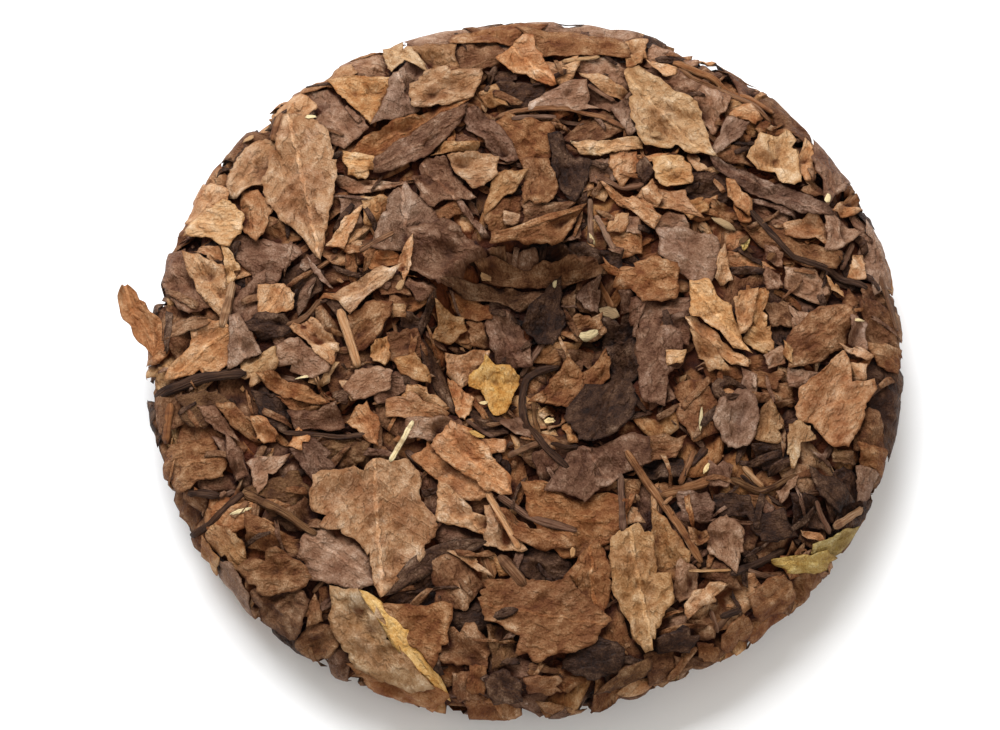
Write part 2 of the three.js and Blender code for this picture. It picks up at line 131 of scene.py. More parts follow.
# The leaves that can be told apart on the upper side, in three layers, lowest first: tone, the outline's
# corners on the side's chart and, where a midrib shows, how plainly and its heading in degrees (None is the
# outline's longest way). Out to the shoulder the chart is the plan, and from there it goes on along the
# surface. Lower leaves are laid larger, so that their edges lie under their neighbours.
LAYER_GROWTH = (1.36, 1.2, 1.06)
LOW_LEAVES = (
    ("dark", ((-19, -76), (-14, -75), (-10, -79), (-13, -82), (-19, -83))),
    ("dark", ((-36, -76), (-30, -68), (-24, -64), (-20, -66), (-19, -73), (-27, -76))),
    ("dark", ((30, -36), (39, -35), (40, -40), (31, -40))),
    ("dark", ((60, -32), (66, -31), (68, -36), (62, -37))),
    ("dark", ((36, -84), (40, -84), (40, -86), (34, -88))),
    ("dark", ((-70, -17), (-63, -18), (-61, -22), (-63, -26), (-68, -24))),
    ("dark", ((-50, -17), (-47, -17), (-47, -20), (-50, -20))),
    ("dark", ((-24, 36), (-20, 36), (-20, 32), (-24, 32))),
    ("dark", ((10, 40), (16, 40), (15, 38), (11, 38))),
    ("dark", ((-32, 6), (-27, 5), (-28, 2), (-32, 3))),
    ("umber", ((40, -16), (46, -15), (49, -20), (49, -26), (44, -28), (41, -24))),
    ("dark", ((75, 8), (78, 8), (78, 5), (76, 5))),
    ("dark", ((65, 4), (70, 4), (70, -2), (66, -3))),
    ("umber", ((90, 16), (99, 15), (98, 10), (91, 10))),
    ("dark", ((92, -8), (101, -9), (101, -20), (99, -28), (93, -24), (91, -16))),
    ("dark", ((-10, 80), (-3, 80), (-3, 78), (-5, 76), (-8, 78))),
    ("dark", ((-6, 76), (4, 75), (3, 72), (1, 69), (-5, 70), (-8, 73))),
    ("dark", ((70, 62), (74, 64), (76, 61), (73, 60))),
    ("dark", ((43, 42), (45, 47), (50, 47), (54, 44), (52, 41), (48, 39))),
    ("dark", ((90, 41), (95, 44), (97, 40), (92, 37))),
    ("dark", ((33, 94), (38, 94), (38, 90), (34, 89))),
    ("umber", ((-96, 10), (-90, 9), (-90, 1), (-93, -3), (-96, 3))),
    ("umber", ((-90, 12), (-85, 11), (-81, 6), (-86, 5))),
    ("umber", ((-89, -24), (-84, -25), (-79, -29), (-81, -34), (-87, -33), (-90, -29))),
    ("umber", ((30, -30), (40, -30), (38, -34), (32, -36))),
    ("umber", ((-20, -82), (-14, -82), (-10, -86), (-12, -90), (-20, -89))),
    ("dark", ((-2, -61), (4, -61), (10, -64), (10, -68), (4, -69), (0, -66))),
    ("umber", ((-23, -64), (-17, -64), (-13, -70), (-16, -75), (-22, -73))),
    ("umber", ((-18, -93), (-14, -93), (-13, -98), (-17, -99))),
    ("umber", ((40, -81), (47, -80), (48, -84), (42, -86))),
    ("umber", ((32, -90), (38, -89), (40, -94), (33, -96))),
    ("umber", ((40, -90), (49, -91), (48, -94), (42, -95))),
    ("dark", ((70, -46), (76, -47), (78, -53), (71, -53))),
    ("dark", ((50, -46), (57, -46), (58, -50), (51, -51))),
    ("umber", ((-15, 8), (-10, 8), (-9, 3), (-14, 3))),
    ("umber", ((10, 16), (13, 16), (13, 11), (11, 10))),
    ("umber", ((-38, 16), (-33, 17), (-31, 12), (-37, 12))),
    ("umber", ((10, 0), (19, 1), (18, -4), (13, -4))),
    ("umber", ((-35, -1), (-29, 0), (-27, -5), (-32, -8), (-35, -6))),
    ("umber", ((62, -14), (69, -14), (69, -19), (64, -19))),
    ("umber", ((30, 0), (38, 0), (42, -3), (37, -8), (31, -10))),
    ("umber", ((64, 10), (69, 9), (70, 4), (65, 4))),
    ("umber", ((90, 10), (100, 9), (101, 0), (92, -1))),
    ("umber", ((87, -22), (93, -21), (95, -29), (88, -30))),
    ("mauve", ((-25, 96), (-10, 98), (8, 98), (23, 96), (24, 90), (8, 89), (-10, 89), (-24, 90))),
    ("umber", ((-20, 82), (-19, 90), (-10, 90), (-7, 85), (-10, 83), (-16, 81))),
    ("mauve", ((-61, 76), (-54, 78), (-48, 72), (-45, 64), (-50, 59), (-54, 62), (-60, 63), (-62, 68))),
    ("mauve", ((15, 81), (20, 84), (28, 83), (29, 80), (28, 75), (23, 76), (19, 78))),
    ("umber", ((16, 64), (24, 67), (27, 62), (23, 60), (16, 57), (13, 60))),
    ("umber", ((11, 57), (16, 56), (19, 54), (16, 52), (12, 53))),
    ("umber", ((51, 54), (57, 57), (62, 57), (60, 52), (56, 52))),
    ("umber", ((41, 78), (48, 75), (53, 72), (51, 70), (46, 71))),
    ("umber", ((-52, 41), (-46, 43), (-40, 43), (-40, 38), (-47, 38), (-52, 35))),
    ("umber", ((75, 48), (78, 46), (80, 43), (76, 43), (74, 44))),
    ("mauve", ((36, 88), (42, 87), (46, 83), (40, 81), (34, 83))),
    ("umber", ((70, 74), (78, 66), (82, 58), (77, 58), (71, 64), (66, 71))),
    ("rust", ((-96, -36), (-92, -30), (-84, -30), (-80, -34), (-81, -38), (-90, -40))),
    ("rust", ((-70, -51), (-64, -55), (-56, -57), (-58, -60), (-64, -60), (-70, -58))),
    ("rust", ((-56, -80), (-52, -80), (-47, -82), (-51, -86), (-56, -88), (-59, -85))),
    ("rust", ((-14, -91), (-10, -92), (-11, -97), (-14, -96))),
    ("rust", ((45, -86), (50, -86), (50, -90), (46, -89))),
    ("rust", ((-48, 26), (-40, 26), (-40, 24), (-46, 24))),
    ("rust", ((-69, 36), (-64, 34), (-61, 30), (-66, 28), (-70, 32))),
    ("orange", ((22, 30), (30, 30), (30, 25), (25, 24))),
    ("rust", ((60, -10), (67, -11), (65, -15), (61, -14))),
    ("mauve", ((92, 35), (97, 30), (98, 20), (93, 17), (91, 24))),
    ("rust", ((92, -1), (100, -1), (99, -7), (94, -6))),
    ("umber", ((-98, -14), (-92, -14), (-91, -22), (-97, -24))),
    ("dark", ((84, -38), (93, -44), (88, -52), (82, -50), (79, -44))),
    ("ochre", ((-30, 89), (-20, 88), (-20, 82), (-22, 80), (-27, 81), (-29, 86))),
    ("rust", ((62, 62), (65, 65), (70, 62), (64, 60))),
    ("rust", ((46, 39), (50, 40), (49, 35), (44, 35))),
    ("rust", ((51, 39), (57, 38), (60, 35), (56, 35), (51, 35))),
    ("rust", ((-88, 55), (-84, 55), (-81, 48), (-86, 45), (-90, 48))),
    ("plum", ((-80, -30), (-76, -31), (-73, -36), (-72, -40), (-74, -40), (-77, -35))),
    ("plum", ((-27, -42), (-22, -43), (-22, -54), (-21, -57), (-25, -52))),
    ("plum", ((-23, -53), (-10, -56), (-10, -58), (-18, -60), (-24, -56))),
    ("plum", ((3, -36), (6, -34), (11, -39), (9, -42), (5, -44))),
    ("plum", ((40, -46), (46, -46), (48, -48), (47, -52), (41, -52))),
    ("plum", ((48, -37), (53, -38), (52, -43), (48, -42))),
    ("dark", ((59, -52), (66, -51), (69, -56), (62, -58))),
    ("plum", ((-78, 28), (-75, 30), (-70, 28), (-64, 26), (-62, 24), (-64, 22), (-68, 17), (-70, 16),
        (-72, 20), (-76, 24))),
    ("plum", ((-77, 11), (-72, 16), (-70, 17), (-70, 7), (-74, 5), (-77, 8))),
    ("plum", ((-97, 27), (-91, 25), (-89, 19), (-85, 12), (-90, 10), (-94, 14), (-98, 20))),
    ("plum", ((-10, 15), (-5, 15), (-3, 12), (-9, 10))),
    ("plum", ((-8, 10), (-4, 10), (0, 3), (0, -2), (-5, -3), (-8, 1), (-9, 6))),
    ("dark", ((22, 8), (30, 6), (30, 0), (24, 0), (22, 2))),
    ("plum", ((25, 14), (28, 12), (30, 9), (30, 7), (26, 9))),
    ("dark", ((14, 27), (18, 25), (24, 24), (24, 20), (18, 21), (13, 24))),
    ("plum", ((11, 32), (14, 33), (14, 28), (10, 28))),
    ("plum", ((-29, 17), (-25, 15), (-24, 12), (-28, 11), (-31, 14))),
    ("dark", ((-14, -20), (-10, -20), (-6, -21), (-6, -27), (-9, -28), (-14, -25))),
    ("dark", ((22, 0), (30, -1), (30, -10), (26, -12), (23, -8))),
    ("plum", ((-40, -10), (-35, -11), (-30, -13), (-31, -16), (-38, -19))),
    ("plum", ((32, -12), (36, -12), (38, -18), (33, -20))),
    ("plum", ((30, 9), (40, 10), (43, 10), (42, 3), (41, -1), (33, 0), (30, 2))),
    ("plum", ((60, 40), (70, 38), (69, 34), (67, 30), (64, 33), (62, 37))),
    ("plum", ((62, 40), (80, 40), (79, 36), (72, 36))),
    ("mauve", ((-49, 89), (-38, 88), (-38, 83), (-39, 80), (-46, 80), (-49, 83))),
    ("tan", ((-59, 83), (-49, 84), (-48, 81), (-52, 78), (-60, 77))),
    ("plum", ((31, 80), (38, 80), (44, 76), (48, 74), (46, 70), (42, 71), (36, 75))),
    ("mauve", ((-50, 48), (-44, 46), (-35, 46), (-33, 46), (-41, 43), (-46, 43))),
    ("plum", ((-80, 44), (-76, 44), (-76, 39), (-79, 41))),
    ("plum", ((-21, 60), (-19, 60), (-12, 58), (-20, 56))),
    ("tan", ((73, 51), (75, 59), (78, 56), (78, 51), (75, 48))),
    ("tan", ((-68, 70), (-62, 74), (-58, 70), (-62, 62), (-67, 60))),
    ("plum", ((16, 75), (19, 74), (25, 70), (22, 68), (17, 71))),
    ("olive", ((-9, -82), (-4, -82), (-3, -88), (-8, -90))),
    ("mauve", ((33, -80), (37, -77), (41, -79), (40, -82), (35, -84))),
    ("mauve", ((-49, 40), (-44, 40), (-44, 34), (-48, 34))),
    ("mauve", ((26, 34), (30, 34), (30, 30), (27, 30))),
    ("mauve", ((57, -10), (60, -12), (60, -17), (57, -17))),
    ("mauve", ((70, 19), (76, 19), (79, 15), (78, 11), (74, 12), (70, 15))),
    ("mauve", ((70, 8), (74, 6), (75, 2), (71, 2))),
    ("tan", ((5, 83), (13, 83), (13, 81), (11, 76), (7, 78), (5, 81))),
    ("mauve", ((18, 51), (22, 52), (24, 47), (20, 45), (18, 46))),
    ("mauve", ((48, 73), (54, 71), (52, 66), (51, 63), (50, 62), (46, 70))),
    ("olive", ((-70, -43), (-62, -40), (-60, -40), (-56, -44), (-56, -46), (-62, -48))),
    ("olive", ((-90, -17), (-82, -16), (-79, -20), (-84, -24), (-89, -22))),
    ("mauve", ((70, -10), (77, -10), (76, -12), (73, -15), (70, -14))),
    ("olive", ((-52, -31), (-47, -29), (-42, -32), (-44, -36), (-50, -38))),
    ("orange", ((18, -66), (21, -68), (22, -73), (19, -70))),
    ("orange", ((-88, 27), (-82, 27), (-81, 22), (-85, 24))),
    ("orange", ((-42, 24), (-36, 26), (-34, 22), (-40, 20))),
    ("rust", ((60, 32), (64, 32), (70, 30), (80, 26), (80, 22), (74, 22), (66, 26))),
    ("orange", ((54, 24), (60, 23), (64, 20), (58, 20), (54, 20))),
    ("tan", ((24, 90), (32, 90), (32, 84), (28, 82), (27, 85))),
    ("orange", ((28, 54), (37, 54), (35, 52), (32, 52), (30, 52))),
    ("orange", ((24, 54), (29, 54), (30, 50), (26, 46), (23, 50))),
    ("tan", ((-19, -62), (-14, -62), (-10, -67), (-13, -66))),
    ("tan", ((34, 82), (40, 80), (40, 78), (37, 78))),
    ("ochre", ((-43, 40), (-37, 40), (-38, 34), (-42, 34))),
    ("umber", ((-29, 40), (-19, 40), (-18, 36), (-24, 34))),
    ("rust", ((-19, 14), (-15, 15), (-11, 14), (-10, 10), (-17, 10))),
    ("rust", ((10, 6), (14, 10), (19, 10), (20, 6), (14, 4))),
    ("ochre", ((10, -17), (12, -17), (13, -29), (11, -29), (10, -23))),
    ("ochre", ((-40, 8), (-33, 8), (-33, 5), (-40, 5))),
    ("ochre", ((-12, 73), (-8, 75), (-6, 70), (-10, 70))),
    # The last three leaves lie at the hollow's far wall; their dark tones partly paint the shade under its
    # rim.
    ("umber", ((-13, 25), (-6, 26), (-5, 22), (-10, 21))),
    ("dark", ((3, 27), (8, 27), (12, 24), (6, 22))),
    ("plum", ((-4, 25), (2, 26), (3, 22), (-3, 21))),
)
MIDDLE_LEAVES = (
    ("rust", ((-57, -76), (-54, -72), (-52, -76), (-52, -78), (-56, -79))),
    ("umber", ((-70, -70), (-60, -70), (-56, -73), (-58, -78), (-60, -81), (-62, -82),
        (-69, -77)), 0.5, None),
    ("mauve", ((-53, -54), (-46, -55), (-40, -60), (-39, -68), (-44, -70), (-50, -68), (-54, -67),
        (-57, -62), (-56, -57)), 0.6, None),
    ("mauve", ((-72, -36), (-62, -34), (-66, -40), (-69, -44), (-70, -40))),
    ("plum", ((-60, -33), (-56, -30), (-51, -34), (-50, -38), (-54, -42), (-57, -38)), 0.8, None),
    ("umber", ((-62, -50), (-57, -47), (-54, -49), (-52, -54), (-57, -54))),
    ("ochre", ((-80, -52), (-76, -54), (-73, -58), (-73, -62), (-76, -63), (-78, -60), (-81, -59),
        (-82, -54))),
    ("rust", ((-73, -64), (-68, -61), (-64, -60), (-61, -62), (-58, -64), (-56, -67), (-60, -70), (-67, -70),
        (-70, -68))),
    ("orange", ((-44, -90), (-30, -91), (-22, -97), (-25, -101), (-38, -100))),
    ("mauve", ((-81, -61), (-76, -63), (-72, -70), (-74, -75), (-79, -72), (-82, -66))),
    ("ochre", ((-84, -55), (-80, -60), (-83, -64), (-88, -60))),
    ("orange", ((-28, -36), (-24, -32), (-17, -38), (-12, -42), (-10, -45), (-17, -46), (-20, -44),
        (-24, -40)), 0.4, None),
    ("tan", ((-22, -43), (-18, -46), (-14, -50), (-10, -52), (-10, -56), (-16, -54), (-20, -54),
        (-22, -53))),
    ("tan", ((-10, -50), (-7, -50), (-1, -60), (-2, -61), (-10, -59))),
    ("rust", ((1, -44), (6, -44), (11, -45), (20, -46), (24, -48), (24, -54), (20, -57), (16, -60),
        (11, -61), (6, -58), (3, -52)), 0.5, None),
    ("rust", ((-8, -50), (-4, -51), (1, -55), (8, -57), (12, -60), (4, -60), (-1, -59), (-5, -55))),
    ("rust", ((18, -60), (20, -62), (22, -68), (21, -72), (19, -78), (18, -76), (13, -72), (11, -68),
        (14, -64)), 1.0, None),
    ("rust", ((-36, -76), (-20, -76), (-20, -80), (-21, -86), (-24, -89), (-27, -86), (-32, -81))),
    ("ochre", ((33, -51), (37, -55), (40, -60), (42, -62), (40, -67), (35, -68), (33, -64))),
    ("plum", ((7, -44), (12, -35), (26, -30), (30, -31), (30, -37), (24, -40), (16, -46),
        (14, -45)), 1.0, -58),
    ("dark", ((13, -87), (19, -85), (24, -88), (24, -93), (16, -94), (10, -92))),
    ("umber", ((0, -94), (8, -94), (9, -98), (1, -98))),
    ("olive", ((19, -98), (24, -93), (31, -90), (32, -92), (26, -97))),
    ("dark", ((-10, -94), (-5, -92), (-2, -95), (-2, -99), (-8, -100))),
    ("dark", ((34, -85), (40, -82), (44, -84), (42, -88), (35, -88))),
    ("mauve", ((40, -64), (44, -67), (44, -72), (40, -74), (38, -72))),
    ("mauve", ((48, -55), (52, -52), (56, -56), (56, -62), (54, -66), (52, -64), (48, -62))),
    ("rust", ((42, -55), (46, -56), (47, -58), (43, -60))),
    ("dark", ((75, -38), (80, -40), (84, -43), (86, -45), (82, -48), (77, -45), (76, -42))),
    ("orange", ((72, -55), (77, -55), (78, -57), (73, -56))),
    ("moss", ((76, -58), (80, -56), (86, -53), (90, -52), (88, -56), (84, -60), (76, -60))),
    ("moss", ((66, -63), (70, -62), (78, -60), (83, -61), (80, -64), (76, -65), (68, -66))),
    ("mauve", ((71, -40), (70, -44), (67, -47), (66, -44))),
    ("rust", ((88, -30), (97, -30), (96, -36), (90, -36))),
    ("mauve", ((87, -36), (94, -37), (92, -43), (88, -44))),
    ("olive", ((81, -31), (86, -32), (86, -35), (81, -35))),
    ("orange", ((-76, 44), (-72, 43), (-68, 38), (-70, 33), (-72, 30), (-76, 33))),
    ("light", ((-81, 27), (-78, 24), (-76, 20), (-77, 18), (-80, 16), (-80, 22))),
    ("tan", ((-91, 26), (-87, 24), (-81, 20), (-80, 16), (-80, 8), (-81, 7), (-85, 12),
        (-89, 19)), 0.6, None),
    ("tan", ((-70, 14), (-65, 15), (-62, 12), (-62, 8), (-66, 7), (-70, 6)), 0.8, None),
    ("dark", ((-74, 3), (-70, 6), (-64, 6), (-62, 3), (-64, 0), (-70, 0))),
    ("mauve", ((-62, -2), (-59, -2), (-54, -6), (-52, -10), (-56, -12), (-60, -10), (-66, -8), (-64, -4))),
    ("light", ((-75, -6), (-70, -6), (-66, -4), (-66, -9), (-70, -13), (-72, -14), (-74, -10))),
    ("tan", ((-94, -10), (-92, -6), (-88, -2), (-88, 4), (-84, 4), (-80, 3), (-79, 0), (-79, -7),
        (-82, -9)), 0.8, None),
    ("mauve", ((-78, 5), (-76, 6), (-70, -5), (-74, -6), (-78, -8)), 0.8, None),
    ("plum", ((-85, -20), (-81, -21), (-77, -26), (-75, -29), (-79, -27), (-83, -24))),
    ("rust", ((-80, -20), (-76, -20), (-72, -24), (-70, -29), (-72, -28), (-77, -25))),
    ("orange", ((-71, -24), (-68, -24), (-64, -29), (-68, -30), (-70, -29))),
    ("rust", ((-64, -18), (-56, -19), (-50, -20), (-57, -22), (-61, -21))),
    ("plum", ((-61, -22), (-56, -22), (-54, -22), (-50, -20), (-48, -26), (-52, -27), (-56, -26),
        (-59, -26))),
    ("rust", ((-46, 5), (-42, 8), (-36, 8), (-36, 5), (-39, 1), (-40, -2), (-45, -4), (-46, 0))),
    ("plum", ((-58, 23), (-54, 18), (-51, 14), (-54, 16), (-57, 20))),
    ("tan", ((-44, 37), (-46, 31), (-48, 26), (-52, 27), (-48, 34))),
    ("plum", ((-78, -28), (-74, -33), (-72, -39), (-75, -40), (-77, -34))),
    ("orange", ((-59, -27), (-56, -29), (-58, -33), (-61, -31))),
    ("mauve", ((-32, 44), (-36, 39), (-38, 32), (-40, 26), (-33, 26), (-30, 25), (-24, 30), (-24, 33),
        (-30, 41)), 1.0, 97),
    ("plum", ((-30, 30), (-22, 32), (-18, 30), (-12, 24), (-16, 22), (-18, 18), (-23, 16), (-29, 20))),
    ("plum", ((-18, 40), (-16, 38), (-10, 30), (-12, 30), (-17, 36))),
    ("rust", ((-10, 37), (-6, 40), (0, 40), (0, 32), (-7, 30), (-10, 33))),
    ("umber", ((-20, 16), (-14, 18), (-10, 19), (0, 18), (10, 20), (6, 16), (2, 14), (-3, 14), (-6, 15),
        (-14, 15))),
    ("umber", ((-11, 22), (-6, 24), (0, 23), (6, 24), (10, 24), (16, 22), (19, 19), (14, 20), (6, 20),
        (0, 19), (-8, 20))),
    ("ochre", ((-23, 10), (-17, 9), (-16, 6), (-20, 3), (-24, 1), (-23, 5))),
    ("dark", ((0, 8), (2, 13), (6, 18), (9, 20), (9, 14), (10, 8), (7, 3), (4, 4))),
    ("plum", ((16, 18), (20, 18), (19, 12), (16, 13), (14, 16)), 1.0, None),
    ("tan", ((22, 33), (24, 35), (27, 35), (26, 30), (22, 30))),
    ("umber", ((0, 40), (12, 38), (9, 36), (3, 32), (0, 32))),
    ("orange", ((-34, 22), (-30, 28), (-30, 21), (-32, 16))),
    ("orange", ((-20, -2), (-15, 0), (-10, 0), (-12, -4), (-15, -7), (-17, -10), (-20, -7))),
    ("orange", ((-20, -10), (-14, -14), (-14, -16), (-16, -24), (-17, -23), (-20, -16))),
    ("plum", ((-6, -21), (-2, -20), (0, -24), (1, -30), (-2, -28), (-6, -24))),
    ("rust", ((2, -14), (7, -9), (11, -3), (14, -6), (16, -10), (12, -16), (7, -14))),
    ("rust", ((16, -6), (21, 0), (22, -2), (22, -8), (16, -10))),
    ("plum", ((30, 0), (40, 0), (40, -8), (37, -12), (36, -19), (31, -18), (30, -10))),
    ("tan", ((-30, -16), (-25, -16), (-21, -20), (-24, -22), (-31, -19))),
    ("orange", ((-36, -20), (-30, -18), (-22, -22), (-22, -24), (-30, -24), (-35, -24))),
    ("mauve", ((-30, -25), (-20, -24), (-16, -28), (-22, -30), (-30, -30))),
    ("orange", ((-12, -30), (-6, -31), (-6, -34), (-10, -35))),
    ("mauve", ((35, 33), (38, 37), (42, 35), (43, 30), (36, 30))),
    ("mauve", ((36, 30), (44, 30), (50, 28), (50, 20), (48, 16), (44, 17), (40, 20), (37, 24))),
    ("tan", ((43, 4), (46, 4), (51, 0), (54, -4), (58, -6), (57, -8), (53, -7), (48, -3), (45, 0))),
    ("ochre", ((44, 0), (48, -2), (53, -10), (48, -10), (46, -6))),
    ("ochre", ((62, 13), (64, 12), (63, 2), (60, 3), (60, 8))),
    ("light", ((59, 2), (64, 2), (65, -2), (64, -5), (60, -3), (58, -1))),
    ("umber", ((70, 0), (74, 4), (78, 8), (84, 8), (86, 6), (84, 0), (80, -4), (74, -7), (70, -8),
        (70, -4)), 0.5, None),
    ("mauve", ((86, 6), (90, 4), (90, -2), (86, 0))),
    ("ochre", ((62, -22), (64, -20), (67, -24), (66, -30), (60, -30), (60, -26))),
    ("mauve", ((51, -20), (56, -16), (60, -20), (60, -26), (58, -30), (53, -31), (50, -26))),
    ("mauve", ((63, -6), (67, -4), (68, -8), (64, -9))),
    ("ochre", ((68, -2), (70, -4), (70, -8), (68, -6))),
    ("ochre", ((40, 40), (48, 40), (48, 37), (44, 34))),
    ("rust", ((56, 40), (60, 40), (60, 34), (57, 34))),
    ("orange", ((70, 33), (76, 36), (80, 33), (80, 28), (76, 29), (70, 30))),
    ("mauve", ((80, 37), (88, 32), (84, 27), (80, 27))),
    ("moss", ((57, 28), (60, 29), (59, 26), (58, 25))),
    ("plum", ((64, 26), (68, 24), (68, 20), (64, 22))),
    ("plum", ((63, 20), (67, 18), (68, 15), (64, 14))),
    ("ochre", ((80, 18), (83, 16), (84, 12), (81, 14))),
    ("tan", ((88, 26), (90, 26), (90, 18), (86, 19))),
    ("tan", ((86, -7), (90, -7), (90, -11), (87, -11))),
    ("tan", ((-79, 50), (-76, 57), (-71, 60), (-68, 58), (-70, 48), (-77, 44), (-80, 45)), 0.5, None),
    ("tan", ((-89, 50), (-84, 47), (-81, 44), (-80, 40), (-90, 35), (-92, 39), (-91, 46))),
    ("ochre", ((-52, 78), (-36, 79), (-36, 75), (-38, 72), (-40, 66), (-42, 65), (-46, 70), (-50, 74))),
    ("mauve", ((-35, 80), (-32, 84), (-28, 82), (-26, 78), (-29, 70), (-33, 67), (-40, 65),
        (-37, 73)), 1.0, 110),
    ("light", ((-39, 93), (-34, 93), (-30, 86), (-27, 81), (-33, 85), (-36, 81), (-38, 87)), 0.6, None),
    ("rust", ((-46, 54), (-40, 61), (-30, 66), (-22, 70), (-17, 70), (-19, 68), (-24, 63), (-30, 60),
        (-38, 54), (-45, 54)), 0.4, None),
    ("light", ((-48, 54), (-41, 53), (-40, 51), (-43, 47), (-47, 48))),
    ("plum", ((-26, 52), (-22, 52), (-19, 47), (-15, 41), (-16, 40), (-21, 40), (-24, 38), (-27, 41),
        (-29, 46)), 1.0, None),
    ("ochre", ((-22, 57), (-20, 57), (-13, 57), (-14, 54), (-24, 54))),
    ("tan", ((-30, 76), (-25, 80), (-13, 80), (-14, 76), (-15, 72), (-24, 70), (-29, 70)), 0.5, None),
    ("rust", ((-18, 94), (-6, 97), (4, 97), (0, 92), (-2, 90), (-10, 90), (-19, 90))),
    ("rust", ((0, 94), (13, 92), (24, 90), (27, 84), (19, 85), (10, 85), (4, 86), (3, 90))),
    ("mauve", ((3, 70), (7, 73), (11, 75), (16, 76), (16, 70), (19, 68), (13, 68), (3, 68)), 0.5, None),
    ("tan", ((16, 78), (20, 78), (28, 73), (27, 71), (23, 72), (18, 76))),
    ("mauve", ((24, 67), (29, 73), (30, 70), (30, 62), (28, 60), (26, 63))),
    ("rust", ((-7, 63), (-4, 65), (6, 63), (7, 59), (6, 54), (4, 52), (0, 51), (-3, 56),
        (-6, 59)), 0.3, None),
    ("dark", ((7, 58), (10, 58), (13, 52), (17, 51), (16, 46), (13, 40), (11, 41), (8, 50))),
    ("rust", ((0, 51), (6, 51), (8, 44), (6, 39), (0, 39))),
    ("ochre", ((-8, 47), (0, 48), (-3, 43), (-7, 39), (-10, 36), (-10, 39))),
    ("dark", ((30, 50), (32, 52), (34, 49), (32, 45), (30, 46))),
    ("light", ((14, 58), (16, 54), (24, 54), (30, 56), (30, 59), (25, 58), (20, 57))),
    ("orange", ((56, 68), (60, 69), (63, 66), (61, 64), (55, 66))),
    ("mauve", ((54, 64), (59, 63), (57, 59), (51, 54), (50, 56), (52, 60))),
    ("plum", ((78, 60), (83, 56), (88, 52), (85, 47), (81, 42), (80, 40), (79, 48), (77, 54))),
    ("orange", ((82, 38), (86, 43), (91, 48), (93, 44), (89, 40), (85, 38))),
    ("orange", ((33, 43), (42, 42), (44, 38), (46, 35), (42, 36), (36, 38))),
    ("orange", ((30, 41), (34, 45), (37, 40), (35, 38))),
    ("tan", ((44, 54), (46, 54), (49, 49), (46, 49), (44, 52))),
)
